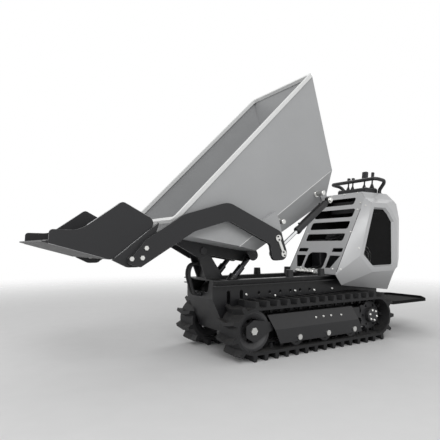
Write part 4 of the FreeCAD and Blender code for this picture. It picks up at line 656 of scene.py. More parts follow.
def build_perforated_sheet():
    """Sets a cell of sheet into a backing plate in line with each point, and none where the plate ends."""
    tree, given = new_geometry_tree("Perforated Sheet", (
        ("Backing", "Object"), ("Inward", "Vector"), ("Reach", "Float"), ("Sink", "Float")))
    ray = add_node(tree, "GeometryNodeRaycast", {}, {
        "Target Geometry": geometry_of(given["Backing"]), "Ray Direction": given["Inward"],
        "Ray Length": given["Reach"]}).outputs
    missed = add_node(tree, "FunctionNodeBooleanMath", {"operation": "NOT"}, {0: ray["Is Hit"]}).outputs[0]
    kept = add_node(tree, "GeometryNodeDeleteGeometry", {"domain": "POINT"},
                    {0: given["Geometry"], "Selection": missed}).outputs[0]
    sunk = vector_math("ADD", ray["Hit Position"], vector_math("SCALE", given["Inward"], given["Sink"]))
    moved = add_node(tree, "GeometryNodeSetPosition", {}, {"Geometry": kept, "Position": sunk}).outputs[0]
    return close_tree(tree, given, moved)


def grown(mesh, pattern, tree, finish, values=()):
    """Result of a geometry tree with its pattern on a mesh, as plain mesh."""
    copy = placed("pattern", pattern)
    carrier = placed("carrier", mesh)
    modifier = carrier.modifiers.new("Tree", "NODES")
    modifier.node_group = tree
    values = {"Pattern": copy, "Finish": bpy.data.materials[finish], **dict(values)}
    for item in tree.interface.items_tree:
        if item.in_out == "INPUT" and item.name in values:
            modifier[item.identifier] = values[item.name]
    result = evaluated(carrier)
    bpy.data.objects.remove(copy)
    return result


# Fasteners of unit radius: the profile and the corner count of each turned part.
BOLT = ((((0, -0.06), (1.0, -0.06), (1.0, 0.10), (0.86, 0.20), (0, 0.20)), 12),
        (((0, 0.15), (0.78, 0.15), (0.78, 0.62), (0.66, 0.72), (0.46, 0.72), (0.40, 0.64), (0, 0.64)), 6))
SOCKET_SCREW = ((((0, -0.06), (1.0, -0.06), (1.0, 0.62), (0.88, 0.76), (0.52, 0.76), (0.46, 0.30), (0, 0.30)),
                 12),)
NIPPLE = ((((0, -0.1), (1.0, -0.1), (1.0, 0.9), (0.6, 1.1), (0.5, 1.6), (0.75, 2.0), (0.6, 2.5), (0, 2.7)),
           8),)


def set_fasteners(name, body, seats, parts=BOLT, finish="Zinc Plate"):
    """One mesh of like fasteners on one body."""
    mesh = bpy.data.meshes.new("seats")
    mesh.from_pydata([tuple(place) for place, normal, size in seats], [], [])
    mesh.attributes.new("seat_normal", "FLOAT_VECTOR", "POINT")
    mesh.attributes.new("seat_size", "FLOAT", "POINT")
    for i, (place, normal, size) in enumerate(seats):
        mesh.attributes["seat_normal"].data[i].vector = normal
        mesh.attributes["seat_size"].data[i].value = size
    shape = bmesh.new()
    for profile, count in parts:
        add_revolved(shape, profile, count=count)
    tree = bpy.data.node_groups.get("Fastener Setter") or build_fastener_setter()
    show(name, grown(mesh, mesh_from(shape, parts is NIPPLE), tree, finish), finish, body)


def weld(name, lines, finish, body):
    """Weld beads along straight-sided lines."""
    places = []
    edges = []
    for line in lines:
        edges += [(len(places) + i, len(places) + i + 1) for i in range(len(line) - 1)]
        places += [tuple(place) for place in line]
    mesh = bpy.data.meshes.new("lines")
    mesh.from_pydata(places, edges, [])
    drop = bmesh.new()
    bmesh.ops.create_uvsphere(drop, u_segments=8, v_segments=5, radius=0.5)
    bmesh.ops.scale(drop, vec=(0.85, 1.0, 0.62), verts=drop.verts)
    tree = bpy.data.node_groups.get("Bead Setter") or build_bead_setter()
    sized = {"Step": sizes().bead_step, "Width": sizes().bead_width}
    show(name, grown(mesh, mesh_from(drop, True), tree, finish, sized), finish, body)


def wheel_places():
    """Middle of each turning body, from the frame's own joints."""
    return {joint["child"]: Vector(joint["pos_m"]) for joint in frame["joints"] if joint.get("pos_m")}


GRILLE_FOOT = millimetres(-412, 0, 470)
GRILLE_LEAN = math.radians(30.1)
GRILLE_UP = Vector((-math.sin(GRILLE_LEAN), 0, math.cos(GRILLE_LEAN)))
GRILLE_OUT = Vector((math.cos(GRILLE_LEAN), 0, math.sin(GRILLE_LEAN)))
GRILLE_HALF = 0.245
GRILLE_LENGTH = 0.709
GRILLE_BOLT_SHARES = ((0.638, 0.988), (0.914, 0.849), (1.092, 0.824), (0.894, 0.768), (0.957, 0.492),
                      (1.207, 0.361), (-0.817, 0.485), (-1.095, 0.353), (-0.429, 0.988), (0.111, 0.988),
                      (-0.508, 0.062), (0.814, 0.061), (1.045, 0.075))
GUARD_BOLTS = ((-134, 213), (-201, 214), (-270, 214), (-365, 210))
CHASSIS_BOLTS = ((56, 346), (-118, 368), (-294, 364), (290, 366), (-470, 366))
REAR_BOLT_SHARES = ((-0.92, 0.12), (0.92, 0.12), (-0.92, 0.5), (0.92, 0.5), (-0.92, 0.88), (0.92, 0.88),
                    (0, 0.05), (0, 0.95))
COVER_NODES = ("front_grille", "top_cover", "rear_panel") + both("side_cover")
CONSOLE_BOLT_INSET = 0.018
HOOD_BOLT_X = -0.82
HOOD_BOLT_Y = (-0.16, 0.16)
ABOVE_COVERS = 1.4
BEFORE_GRILLE = 0.2
KEEPER_PINS = (millimetres(209, 0, 716.9), millimetres(168, 0, 624))
KEEPER_STEPS = (-0.0105, 0.0105)


def on_grille(across, along, proud=0.0):
    """Place by shares of the grille's half width and length, and so far before its face."""
    return (GRILLE_FOOT + GRILLE_OUT * proud + GRILLE_UP * (along * GRILLE_LENGTH)
            + Vector((0, across * GRILLE_HALF, 0)))


def grille_seats(radius):
    """Bolts in the grille and in the covers beside it."""
    seats = []
    for across, along in GRILLE_BOLT_SHARES:
        if abs(across) > 1:
            seats += seated(COVER_NODES, [on_grille(across, along, BEFORE_GRILLE)], -GRILLE_OUT, radius)
        else:
            seats.append((on_grille(across, along), GRILLE_OUT, radius))
    return seats


def rear_seats(radius):
    low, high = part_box("rear_panel")
    middle = (low + high) / 2
    half = (high - low) / 2
    starts = [(low.x - AWAY, middle.y + across * half.y, low.z + up * (high.z - low.z))
              for across, up in REAR_BOLT_SHARES]
    return seated(("rear_panel",), starts, (1, 0, 0), radius)


def top_seats(radius):
    """Bolts that hold the console and the hood, seen from above."""
    low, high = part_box("control_console")
    inset = CONSOLE_BOLT_INSET
    corners = [(x, y, ABOVE_COVERS) for x in (low.x + inset, high.x - inset)
               for y in (low.y + inset, high.y - inset)]
    hood = [(HOOD_BOLT_X, y, ABOVE_COVERS) for y in HOOD_BOLT_Y]
    return seated(("control_console",), corners, DOWN, radius) + seated(("top_cover",), hood, DOWN, radius)


def side_seats(name, places, radius, sign):
    """Bolts at places given as x and z in millimetres, seen from one side of the machine."""
    starts = [millimetres(x, 0, z) + Vector((0, sign * AWAY, 0)) for x, z in places]
    return seated((name,), starts, (0, -sign, 0), radius)


def hub_seats(side, sign, size):
    middle = wheel_places()[side + "_sprocket_body"]
    reach = size.hub_circle
    turns = [math.tau * (i + 0.25) / size.hub_count for i in range(size.hub_count)]
    starts = [middle + Vector((reach * math.cos(turn), sign * AWAY, reach * math.sin(turn)))
              for turn in turns]
    return seated((side + "_sprocket",), starts, (0, -sign, 0), size.hub_bolt)


def keeper_seats(radius):
    """Two screws in each lobe of the keeper plates, on both sides of the loader."""
    along = (KEEPER_PINS[1] - KEEPER_PINS[0]).normalized()
    seats = []
    for sign in SIDES.values():
        starts = [pin + along * step + Vector((0, sign * AWAY, 0))
                  for pin in KEEPER_PINS for step in KEEPER_STEPS]
        seats += seated(("arm_pins",), starts, (0, -sign, 0), radius)
    return seats


class CARRIER_OT_finishes(Operator):
    """Make the paints, metals and rubber and put them on the machine's own solids"""

    bl_idname = "carrier.finishes"
    bl_label = "Finishes"

    def execute(self, context):
        build_finishes()
        dress_nodes()
        return {"FINISHED"}


class CARRIER_OT_cover_bolts(Operator):
    """Set the bright bolts in the engine covers, grille, rear panel and console"""

    bl_idname = "carrier.cover_bolts"
    bl_label = "Cover Bolts"

    def execute(self, context):
        radius = sizes().cover_bolt
        set_fasteners("cover_bolts", "chassis", grille_seats(radius) + rear_seats(radius) + top_seats(radius))
        return {"FINISHED"}


CORNER_PLATE_SHARES = ((1.0, 0.77), (1.0, 0.905), (0.775, 0.993), (0.60, 0.993), (0.72, 0.92))
CORNER_PLATE_SINK = 0.0012
CORNER_PLATE_DEPTH = 0.003


class CARRIER_OT_corner_plates(Operator):
    """Close the gaps between grille, hood and side covers with corner plates"""

    bl_idname = "carrier.corner_plates"
    bl_label = "Corner Plates"

    def execute(self, context):
        shape = bmesh.new()
        for sign in SIDES.values():
            outline = [on_grille(sign * across, along, -CORNER_PLATE_SINK)
                       for across, along in CORNER_PLATE_SHARES]
            add_extruded(shape, outline, GRILLE_OUT * -CORNER_PLATE_DEPTH)
        show("hood_corner_plates", shape, "Cover Paint", "chassis")
        return {"FINISHED"}


LINER_HEIGHTS = (0.42, 0.50, 0.56, 0.60, 0.70, 0.80, 0.88, 0.94)
LINER_START = (-0.80, 0.20)
LINER_HALF = 0.185
LINER_DEPTH = 0.003


class CARRIER_OT_louvre_liner(Operator):
    """Line the louvres of the rear panel with dark gauze that stands in for the shade inside the housing"""

    bl_idname = "carrier.louvre_liner"
    bl_label = "Louvre Liner"

    def execute(self, context):
        edge = [seat_on(("rear_panel",), (*LINER_START, z), (-1, 0, 0))[0] for z in LINER_HEIGHTS]
        near = [Vector((place.x + LINER_DEPTH, -LINER_HALF, place.z)) for place in edge]
        outline = near + [place + Vector((LINER_DEPTH, 0, 0)) for place in near[::-1]]
        shape = bmesh.new()
        add_extruded(shape, outline, Vector((0, 2 * LINER_HALF, 0)))
        # The gauze's near-black colour paints the shade inside the housing.
        show("louvre_liner", shape, "Gauze", "chassis")
        return {"FINISHED"}


def mirrored(place, sign):
    return Vector((place.x, sign * place.y, place.z))


CHEEK_BACK_X = -0.2
CHEEK_OUTER_Y = 0.309
LOADER_ANCHOR = millimetres(-315.436, 282, 983.899)
LOADER_CRANK = millimetres(168.020, 282, 623.973)
PIN_OUTLINE = ((0.0, -0.036), (0.0148, -0.036), (0.0148, 0.0145), (0.020, 0.0145), (0.020, 0.0175),
               (0.0145, 0.018), (0.0145, 0.027), (0.0115, 0.030), (0.0, 0.030))
BARREL_RADIUS = 0.0205
BARREL_OUTLINE = ((0.0, 0.018), (0.013, 0.018), (0.013, 0.037), (0.0205, 0.039), (0.0225, 0.041),
                  (0.0225, 0.341), (0.0250, 0.343), (0.0250, 0.362), (0.024, 0.364), (0.0128, 0.364),
                  (0.0128, 0.352), (0.0, 0.352))
EYE_OUTLINE = ((0.0152, -0.013), (0.023, -0.013), (0.023, 0.013), (0.0152, 0.013), (0.0152, -0.013))
PORT_OUTLINE = ((0.0, 0.0), (0.0075, 0.0), (0.0075, 0.011), (0.005, 0.013), (0.0, 0.013))
PORT_STATIONS = (0.085, 0.318)
# Hard line along the barrel, as (station, lift).
LINE_ROUTE = ((0.085, 0.024), (0.091, 0.0285), (0.2, 0.0285), (0.312, 0.0285), (0.318, 0.024))
LINE_RADIUS = 0.0032


class CARRIER_OT_rear_anchors(Operator):
    """Leave the outer cheeks off at the cylinders' rear ends and show their pins with washers and heads"""

    bl_idname = "carrier.rear_anchors"
    bl_label = "Rear Anchors"

    def execute(self, context):
        shape = shape_of("loader_brackets")
        outer = [vert for vert in shape.verts if vert.co.x < CHEEK_BACK_X and abs(vert.co.y) > CHEEK_OUTER_Y]
        if not outer:
            raise RuntimeError("the rear cheeks were not found")
        bmesh.ops.delete(shape, geom=outer, context="VERTS")
        piece = show("loader_anchor_cheeks", shape, "Skip Paint", "skip")
        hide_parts("loader_brackets")
        shape = bmesh.new()
        for sign in SIDES.values():
            add_revolved(shape, PIN_OUTLINE, mirrored(LOADER_ANCHOR, sign), (0, sign, 0))
        show("loader_anchor_pins", shape, "Zinc Plate", "skip")
        return {"FINISHED"}


class CARRIER_OT_slim_barrels(Operator):
    """Show each lift cylinder's barrel turned slimmer, with its gland, ports and hard line"""

    bl_idname = "carrier.slim_barrels"
    bl_label = "Slim Barrels"

    def execute(self, context):
        for side, sign in SIDES.items():
            start = mirrored(LOADER_ANCHOR, sign)
            way = (mirrored(LOADER_CRANK, sign) - start).normalized()
            out = Vector((-way.z, 0, way.x))
            shape = bmesh.new()
            add_revolved(shape, BARREL_OUTLINE, start, way, 28)
            add_revolved(shape, EYE_OUTLINE, start, (0, sign, 0), 28)
            for station in PORT_STATIONS:
                add_revolved(shape, PORT_OUTLINE, start + way * station + out * BARREL_RADIUS, out, 14)
            merge(shape)
            line = swept([[start + way * station + out * lift for station, lift in LINE_ROUTE]], LINE_RADIUS)
            shape.from_mesh(line)
            bpy.data.meshes.remove(line)
            name = side + "_loader_barrel"
            piece = show(side + "_slim_barrel", shape, "Chassis Paint", name)
            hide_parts(name)
        return {"FINISHED"}


PEG_CAP_OUTLINE = ((0.0, -0.002), (0.021, -0.002), (0.021, 0.003), (0.0160, 0.0035))
PEG_CAP_END = 0.349
PEG_CAP_BEVEL = 0.0025


class CARRIER_OT_peg_caps(Operator):
    """Sleeve the pegs on the skip's sides with turned caps that stand on washers"""

    bl_idname = "carrier.peg_caps"
    bl_label = "Peg Caps"

    def execute(self, context):
        shape = bmesh.new()
        for peg in PEG_PLACES:
            wall = peg_wall(peg)
            tall = PEG_CAP_END - wall
            outline = PEG_CAP_OUTLINE + ((0.0160, tall - PEG_CAP_BEVEL), (0.0135, tall), (0.0, tall))
            for sign in SIDES.values():
                add_revolved(shape, outline, (peg.x, sign * wall, peg.z), (0, sign, 0), 24)
        show("skip_peg_caps", shape, "Zinc Plate", "skip")
        return {"FINISHED"}


GUARD_BOLT_SHARE = 0.8


class CARRIER_OT_frame_bolts(Operator):
    """Set the bolts of the track guards, chassis sides and sprocket hubs"""

    bl_idname = "carrier.frame_bolts"
    bl_label = "Frame Bolts"

    def execute(self, context):
        radius = sizes().frame_bolt
        seats = []
        for side, sign in SIDES.items():
            seats += side_seats(side + "_side_guard", GUARD_BOLTS, radius * GUARD_BOLT_SHARE, sign)
            seats += side_seats("chassis_sides", CHASSIS_BOLTS, radius, sign)
        set_fasteners("frame_bolts", "chassis", seats)
        for side, sign in SIDES.items():
            set_fasteners(side + "_hub_bolts", side + "_sprocket_body", hub_seats(side, sign, sizes()))
        return {"FINISHED"}


class CARRIER_OT_keeper_screws(Operator):
    """Set the dark socket screws in the pin keepers of the loader"""

    bl_idname = "carrier.keeper_screws"
    bl_label = "Keeper Screws"

    def execute(self, context):
        seats = keeper_seats(sizes().keeper_bolt)
        set_fasteners("keeper_screws", "loader", seats, SOCKET_SCREW, "Blackened Bolt")
        return {"FINISHED"}


CELL_CORNERS = 6
ROW_SHARE = math.sqrt(3) / 2
SHEET_GAP = 0.02
SHEET_REACH = 0.1
LINER_INSET = 0.0045


class CARRIER_OT_window_sheets(Operator):
    """Stretch perforated sheet over both windows of the side covers, and a dark liner inside the right one as
    painted shade inside the housing
    """

    bl_idname = "carrier.window_sheets"
    bl_label = "Window Sheets"

    def cell(self, size):
        """One hexagon of the lattice with its hole, left open where the next one joins on."""
        shape = bmesh.new()
        outer = size.mesh_pitch / math.sqrt(3)
        half = size.mesh_sheet / 2
        turns = [math.tau * i / CELL_CORNERS for i in range(CELL_CORNERS)]
        hole = size.mesh_hole
        loops = [[shape.verts.new((radius * math.sin(turn), y, radius * math.cos(turn))) for turn in turns]
                 for radius, y in ((outer, half), (hole, half), (hole, -half), (outer, -half))]
        for a, b in zip(loops, loops[1:]):
            for i in range(CELL_CORNERS):
                j = (i + 1) % CELL_CORNERS
                shape.faces.new([a[i], a[j], b[j], b[i]])
        return mesh_from(shape)

    def lattice(self, low, high, pitch, y):
        """Staggered points that cover both windows' height and length, as a mesh."""
        rows = int((high.z - low.z) / (pitch * ROW_SHARE)) + 2
        columns = int((high.x - low.x) / pitch) + 2
        mesh = bpy.data.meshes.new("lattice")
        mesh.from_pydata([(low.x + (column + row % 2 / 2) * pitch, y, low.z + row * pitch * ROW_SHARE)
                          for column in range(columns) for row in range(rows)], [], [])
        return mesh

    def execute(self, context):
        size = sizes()
        low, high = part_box("window_meshes")
        tree = build_perforated_sheet()
        for side, sign in SIDES.items():
            points = self.lattice(low, high, size.mesh_pitch, sign * (high.y + SHEET_GAP))
            mesh = grown(points, self.cell(size), tree, "Window Mesh", {
                "Backing": nodes["window_meshes"], "Inward": (0.0, -float(sign), 0.0), "Reach": SHEET_REACH,
                "Sink": size.mesh_sheet / 2})
            piece = show(side + "_window_sheet", mesh, "Window Mesh", "chassis")
            if side == "left":
                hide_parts("window_meshes")
        # Painted shade: a near-black liner inside the right window stands in for the shade inside the
        # housing.
        shape = shape_of("window_meshes")
        bmesh.ops.delete(shape, geom=[vert for vert in shape.verts if vert.co.y > 0], context="VERTS")
        bmesh.ops.translate(shape, vec=(0, LINER_INSET, 0), verts=shape.verts)
        show("right_window_liner", shape, "Gauze", "chassis")
        return {"FINISHED"}


SKIP_REAR_TOP = millimetres(-139, 0, 1803)
SKIP_BEND_REAR = millimetres(-306, 0, 1182)
SKIP_BEND_FRONT = millimetres(459, 0, 665)
SKIP_HALF = 0.322
SEAM_SINK_SHARE = 0.3
SEAM_END_GAP = 0.004
CORNER_WELD_INSET = 0.002


class CARRIER_OT_skip_seams(Operator):
    """Draw the raised fold line along each side of the skip, lighter than the skip as a painted highlight
    along the bend, and weld its rear corners
    """

    bl_idname = "carrier.skip_seams"
    bl_label = "Skip Seams"

    def execute(self, context):
        radius = sizes().seam_radius
        highlight_folds = []
        corners = []
        gap = (SKIP_BEND_FRONT - SKIP_BEND_REAR).normalized() * SEAM_END_GAP
        for sign in SIDES.values():
            out = Vector((0, sign * (SKIP_HALF - radius * SEAM_SINK_SHARE), 0))
            highlight_folds.append([SKIP_BEND_REAR + gap + out, SKIP_BEND_FRONT - gap + out])
            inset = Vector((CORNER_WELD_INSET, sign * (SKIP_HALF - CORNER_WELD_INSET), 0))
            corners.append([SKIP_BEND_REAR + inset, SKIP_REAR_TOP + inset])
        # Painted highlight: the fold bead's light rim paint stands in for the glint along the bend.
        show("skip_fold_lines", swept(highlight_folds, radius), "Rim Paint", "skip")
        weld("skip_corner_welds", corners, "Skip Paint", "skip")
        return {"FINISHED"}


BUCKET_PLATE_Y = (0.331, 0.3415)
BUCKET_LIP_X = 1.535
BUCKET_LINE_LEAST = 0.12
BUCKET_LINE_RADIUS = 0.0013
SHARP_TURN = 0.7
BOLT_AXES = ((1.0575, 0.66015), (1.0784, 0.61185), (1.1333, 0.60805))
BOLT_HEAD_Y = 0.3735
BOLT_HEAD_SHARE = 0.78


def sharp_lines(name, least, chosen):
    """Long edges of a solid along which its faces turn sharply, where chosen() takes both ends."""
    shape = shape_of(name)
    merge(shape, 2e-6)
    lines = []
    for edge in shape.edges:
        ends = [vert.co.copy() for vert in edge.verts]
        sharp = edge.calc_length() > least and edge.calc_face_angle(0) > SHARP_TURN
        if sharp and chosen(ends[0]) and chosen(ends[1]):
            lines.append(ends)
    shape.free()
    if not lines:
        raise RuntimeError("no sharp edge found on " + name)
    return lines


class CARRIER_OT_bucket_trim(Operator):
    """Lay bright lines along the edges of the bucket's side plates as painted highlights and turn smaller
    heads on its bolts
    """

    bl_idname = "carrier.bucket_trim"
    bl_label = "Bucket Trim"

    def execute(self, context):
        low, high = BUCKET_PLATE_Y
        lines = sharp_lines("bucket", BUCKET_LINE_LEAST,
                            lambda place: low < abs(place.y) < high and place.x < BUCKET_LIP_X)
        # Painted highlights: bright tubes along the side plates' sharp edges.
        show("bucket_weld_lines", swept(lines, BUCKET_LINE_RADIUS, 2), "Weld Line", "loader")
        shape = shape_of("bucket_bolts")
        for vert in shape.verts:
            if abs(vert.co.y) > BOLT_HEAD_Y:
                x, z = min(BOLT_AXES, key=lambda axis: math.hypot(vert.co.x - axis[0], vert.co.z - axis[1]))
                vert.co.x = x + (vert.co.x - x) * BOLT_HEAD_SHARE
                vert.co.z = z + (vert.co.z - z) * BOLT_HEAD_SHARE
        piece = show("bucket_bolt_heads", shape, "Zinc Plate", "loader")
        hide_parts("bucket_bolts")
        return {"FINISHED"}


STARTER_MIDDLE = millimetres(-790, 179.4, 590)
STARTER_RINGS = (0.078, 0.052)
RING_WIDTH = 0.006
STARTER_CAP = ((0.0, -0.002), (0.024, -0.002), (0.024, 0.004), (0.018, 0.008), (0.0, 0.008))
GASKET_SHARES = (0.03, 0.775)
GASKET_LIFT = 0.0006
GASKET_RADIUS = 0.0018


class CARRIER_OT_housing_trim(Operator):
    """Rim the starter behind the window and lay a dark gasket between grille and side covers"""

    bl_idname = "carrier.housing_trim"
    bl_label = "Housing Trim"

    def execute(self, context):
        shape = bmesh.new()
        for radius in STARTER_RINGS:
            wide = radius + RING_WIDTH
            ring = ((radius, -0.002), (wide, -0.002), (wide, 0.003), (radius, 0.003), (radius, -0.002))
            add_revolved(shape, ring, STARTER_MIDDLE, (0, 1, 0), 48)
        add_revolved(shape, STARTER_CAP, STARTER_MIDDLE, (0, 1, 0), 32)
        merge(shape)
        show("starter_rings", shape, "Zinc Plate", "chassis")
        lines = [[on_grille(sign, along, GASKET_LIFT) for along in GASKET_SHARES] for sign in SIDES.values()]
        show("cover_gaskets", swept(lines, GASKET_RADIUS, 2), "Hose Rubber", "chassis")
        return {"FINISHED"}


LEVER_LEAN = math.radians(8)
BOOT_FOLDS = 3
BOOT_FOOT = 0.005
BOOT_LIFT = 0.0003


class CARRIER_OT_lever_boots(Operator):
    """Fit a ribbed rubber boot round the foot of each lever"""

    bl_idname = "carrier.lever_boots"
    bl_label = "Lever Boots"

    def execute(self, context):
        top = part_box("control_console")[1].z
        radius = sizes().boot_radius
        height = sizes().boot_height
        lean = Vector((-math.sin(LEVER_LEAN), 0, math.cos(LEVER_LEAN)))
        profile = [(0, 0), (radius, 0), (radius, 0.0025), (radius * 0.80, 0.004)]
        step = (height - 2 * BOOT_FOOT) / BOOT_FOLDS
        for i in range(BOOT_FOLDS):
            wide = radius * (0.86 - 0.42 * i / BOOT_FOLDS)
            profile += [(wide * width, BOOT_FOOT + step * (i + rise))
                        for width, rise in ((1.0, 0.3), (0.98, 0.55), (0.74, 0.9))]
        profile += [(0.0088, height - 0.003), (0.0088, height), (0.0055, height), (0, height)]
        for name in LEVER_NAMES:
            pivot = wheel_places()[name + "_body"]
            foot = pivot + lean * ((top - pivot.z) / lean.z) + Vector((0, 0, BOOT_LIFT))
            piece = show(name + "_boot", revolved([(profile, foot, lean)], 24), "Hose Rubber", None)
            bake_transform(piece)
        return {"FINISHED"}


HOSE_ENDS = (millimetres(516, 17, 559.3), millimetres(516, -17, 559.3), millimetres(541, 17, 372.6),
             millimetres(541, -17, 372.6))
# Nut and crimped sleeve of a hose end, by shares of the hose's radius and the end's length.
FERRULE_SHARES = ((0, 0), (1.55, 0), (1.55, 0.3), (1.2, 0.34), (1.2, 0.42), (1.36, 0.45), (1.36, 0.58),
                  (1.26, 0.61), (1.36, 0.64), (1.36, 0.77), (1.26, 0.8), (1.36, 0.83), (1.36, 0.97), (1.2, 1),
                  (0, 1))


def ferrule(radius, length):
    return [(radius * wide, length * rise) for wide, rise in FERRULE_SHARES]


class CARRIER_OT_hose_ends(Operator):
    """Crimp the ends of the front hoses"""

    bl_idname = "carrier.hose_ends"
    bl_label = "Hose Ends"

    def execute(self, context):
        profiles = [(ferrule(0.009, 0.030), end, (1, 0, 0)) for end in HOSE_ENDS]
        show("hose_end_fittings", revolved(profiles, 12), "Blackened Bolt", "chassis")
        return {"FINISHED"}


MANIFOLD_PLACES = (-0.090, -0.046, -0.002, 0.042)
MANIFOLD_SINK = 0.003
MANIFOLD_PLUG = ((0, 0), (0.0125, 0), (0.0125, 0.008), (0.010, 0.010), (0, 0.010))
FRONT_PLUG_SHIFT = -0.015
TOP_PLUG_SHIFT = 0.007
# Hose from its foot, as (backward, upward); every other one rises further at its bend.
MANIFOLD_ROUTE = ((0.012, 0), (0.045, 0), (0.085, 0.012), (0.130, 0.030), (0.200, 0.030))
MANIFOLD_STAGGER = 0.004


class CARRIER_OT_manifold(Operator):
    """Plumb the oil manifold in front of the grille"""

    bl_idname = "carrier.manifold"
    bl_label = "Manifold Lines"

    def execute(self, context):
        low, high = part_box("valve_block")
        middle = (low + high) / 2
        radius = sizes().hose_radius
        feet = [Vector((low.x + MANIFOLD_SINK, y, middle.z)) for y in MANIFOLD_PLACES]
        lines = [[foot + Vector((-back, 0, rise)) for back, rise in MANIFOLD_ROUTE] for foot in feet]
        for line in lines[1::2]:
            line[2].z += MANIFOLD_STAGGER
        show("manifold_hoses", swept(lines, radius, 3), "Hose Rubber", "chassis")
        fittings = [(ferrule(radius, 0.026), foot, (-1, 0, 0)) for foot in feet]
        fittings += [(MANIFOLD_PLUG, (high.x - MANIFOLD_SINK, y + FRONT_PLUG_SHIFT, middle.z), (1, 0, 0))
                     for y in MANIFOLD_PLACES]
        fittings += [(MANIFOLD_PLUG, (middle.x, y + TOP_PLUG_SHIFT, high.z - MANIFOLD_SINK), UP)
                     for y in MANIFOLD_PLACES]
        show("manifold_fittings", revolved(fittings, 12), "Zinc Plate", "chassis")
        return {"FINISHED"}


NIPPLE_START = Vector((0.168, 0.282, 0.50))
NIPPLE_RADIUS = 0.0035


class CARRIER_OT_grease_nipples(Operator):
    """Screw a grease nipple into the eye of each loader rod"""

    bl_idname = "carrier.grease_nipples"
    bl_label = "Grease Nipples"

    def execute(self, context):
        for side, sign in SIDES.items():
            rod = side + "_loader_rod"
            seats = seated((rod,), [mirrored(NIPPLE_START, sign)], UP, NIPPLE_RADIUS)
            set_fasteners(side + "_rod_nipple", rod, seats, NIPPLE)
        return {"FINISHED"}


FLOOR_GREYS = (0.70, 0.74)
FLOOR_FADE = (2.2, 7.5)
FLOOR_RADIUS = 9.0
FLOOR_DROP = 0.0008
SOFT_LIGHT = 0.52


def floor_material():
    """Pale floor that fades out far from the machine."""
    material = bpy.data.materials.new("Pale Floor")
    tree = new_tree(material)
    place = object_place(tree)
    pale = add_node(tree, "ShaderNodeBsdfPrincipled", {}, {
        "Base Color": blend_colour(noise(place, 8.0, 4.0), *map(opaque, FLOOR_GREYS)), "Roughness": 0.9,
        "Specular IOR Level": 0.1}).outputs[0]
    clear = add_node(tree, "ShaderNodeBsdfTransparent").outputs[0]
    far = graded(vector_math("LENGTH", place), *FLOOR_FADE, way="SMOOTHSTEP")
    mixed = add_node(tree, "ShaderNodeMixShader", {}, {0: far, 1: pale, 2: clear}).outputs[0]
    add_node(tree, "ShaderNodeOutputMaterial", {}, {0: mixed})
    return material


def light_world():
    """Even grey light, with white behind the machine and in its reflections."""
    world = bpy.data.worlds.new("Studio")
    bpy.context.scene.world = world
    tree = new_tree(world)
    path = add_node(tree, "ShaderNodeLightPath").outputs
    seen = number_math("MAXIMUM", path["Is Camera Ray"], path["Is Glossy Ray"])
    seen = number_math("MAXIMUM", seen, path["Is Transmission Ray"])
    soft, white = [add_node(tree, "ShaderNodeBackground", {}, {"Color": opaque(1.0), "Strength": strength})
                   for strength in (SOFT_LIGHT, 1.0)]
    mixed = add_node(tree, "ShaderNodeMixShader", {}, {0: seen, 1: soft.outputs[0], 2: white.outputs[0]})
    add_node(tree, "ShaderNodeOutputWorld", {}, {0: mixed.outputs[0]})


# Name, place, width, power.
LAMPS = (("Key", (2.6, 5.0, 4.6), 3.5, 170.0), ("Front", (5.2, 0.6, 2.6), 2.5, 60.0),
         ("Back", (-4.5, -3.0, 4.0), 3.0, 70.0))
LAMP_TARGET = Vector((-0.2, 0.0, 0.7))
VIEW_PLACE = (1.908, 2.399577, 0.671159)
VIEW_YAW = math.radians(32.376)
VIEW_PITCH = math.radians(3.4)
VIEW_LENS = 35.652


def aimed(thing, place, sight):
    thing.location = place
    thing.rotation_euler = sight.to_track_quat("-Z", "Y").to_euler()


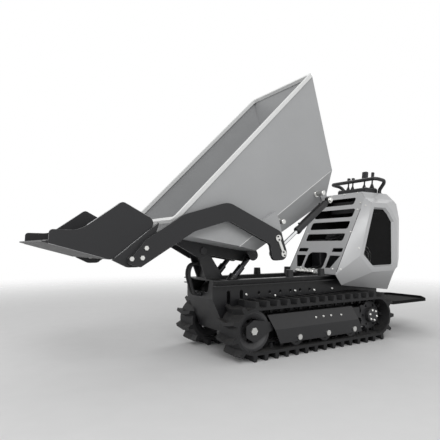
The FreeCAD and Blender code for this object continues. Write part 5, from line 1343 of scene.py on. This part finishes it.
class CARRIER_OT_stage(Operator):
    """Set the floor, lights and camera"""

    bl_idname = "carrier.stage"
    bl_label = "Stage"

    def execute(self, context):
        scene = context.scene
        scene.view_settings.view_transform = "Standard"
        shape = bmesh.new()
        bmesh.ops.create_circle(shape, cap_ends=True, segments=96, radius=FLOOR_RADIUS)
        bmesh.ops.translate(shape, vec=(0, 0, -FLOOR_DROP), verts=shape.verts)
        mesh = mesh_from(shape)
        mesh.materials.append(floor_material())
        placed("floor", mesh)
        light_world()
        for name, place, width, power in LAMPS:
            lamp = bpy.data.lights.new(name, "AREA")
            lamp.shape = "SQUARE"
            lamp.size = width
            lamp.energy = power
            aimed(placed(name, lamp), place, LAMP_TARGET - Vector(place))
        flat = math.cos(VIEW_PITCH)
        sight = Vector((-math.sin(VIEW_YAW) * flat, -math.cos(VIEW_YAW) * flat, math.sin(VIEW_PITCH)))
        lens = bpy.data.cameras.new("View")
        lens.sensor_fit = "HORIZONTAL"
        lens.sensor_width = 36.0
        lens.lens = VIEW_LENS
        lens.clip_start = 0.05
        lens.clip_end = 100.0
        scene.camera = placed("View", lens)
        aimed(scene.camera, VIEW_PLACE, sight)
        return {"FINISHED"}


class CARRIER_PT_parts(Panel):
    """Buttons and sizes of the carrier"""

    bl_idname = "CARRIER_PT_parts"
    bl_label = "Tracked Carrier"
    bl_space_type = "VIEW_3D"
    bl_region_type = "UI"
    bl_category = "Carrier"

    def draw(self, context):
        layout = self.layout
        for operator in OPERATORS:
            layout.operator(operator.bl_idname)
        for group in (context.scene.carrier_colours, context.scene.carrier_sizes):
            box = layout.box()
            for name in group.__class__.__annotations__:
                box.prop(group, name)


OPERATORS = (CARRIER_OT_stage, CARRIER_OT_finishes, CARRIER_OT_corner_plates, CARRIER_OT_louvre_liner,
             CARRIER_OT_rear_anchors, CARRIER_OT_slim_barrels, CARRIER_OT_peg_caps, CARRIER_OT_cover_bolts,
             CARRIER_OT_frame_bolts, CARRIER_OT_keeper_screws, CARRIER_OT_window_sheets,
             CARRIER_OT_skip_seams, CARRIER_OT_bucket_trim, CARRIER_OT_housing_trim, CARRIER_OT_lever_boots,
             CARRIER_OT_hose_ends, CARRIER_OT_manifold, CARRIER_OT_grease_nipples)
CLASSES = (CarrierColours, CarrierSizes) + OPERATORS + (CARRIER_PT_parts,)


def register():
    for item in CLASSES:
        bpy.utils.register_class(item)
    bpy.types.Scene.carrier_colours = PointerProperty(type=CarrierColours)
    bpy.types.Scene.carrier_sizes = PointerProperty(type=CarrierSizes)


def unregister():
    del bpy.types.Scene.carrier_sizes
    del bpy.types.Scene.carrier_colours
    for item in reversed(CLASSES):
        bpy.utils.unregister_class(item)


def main():
    """Registers the add-on and makes every piece."""
    register()
    for operator in OPERATORS:
        family, name = operator.bl_idname.split(".")
        getattr(getattr(bpy.ops, family), name)()


if __name__ == "__main__":
    main()
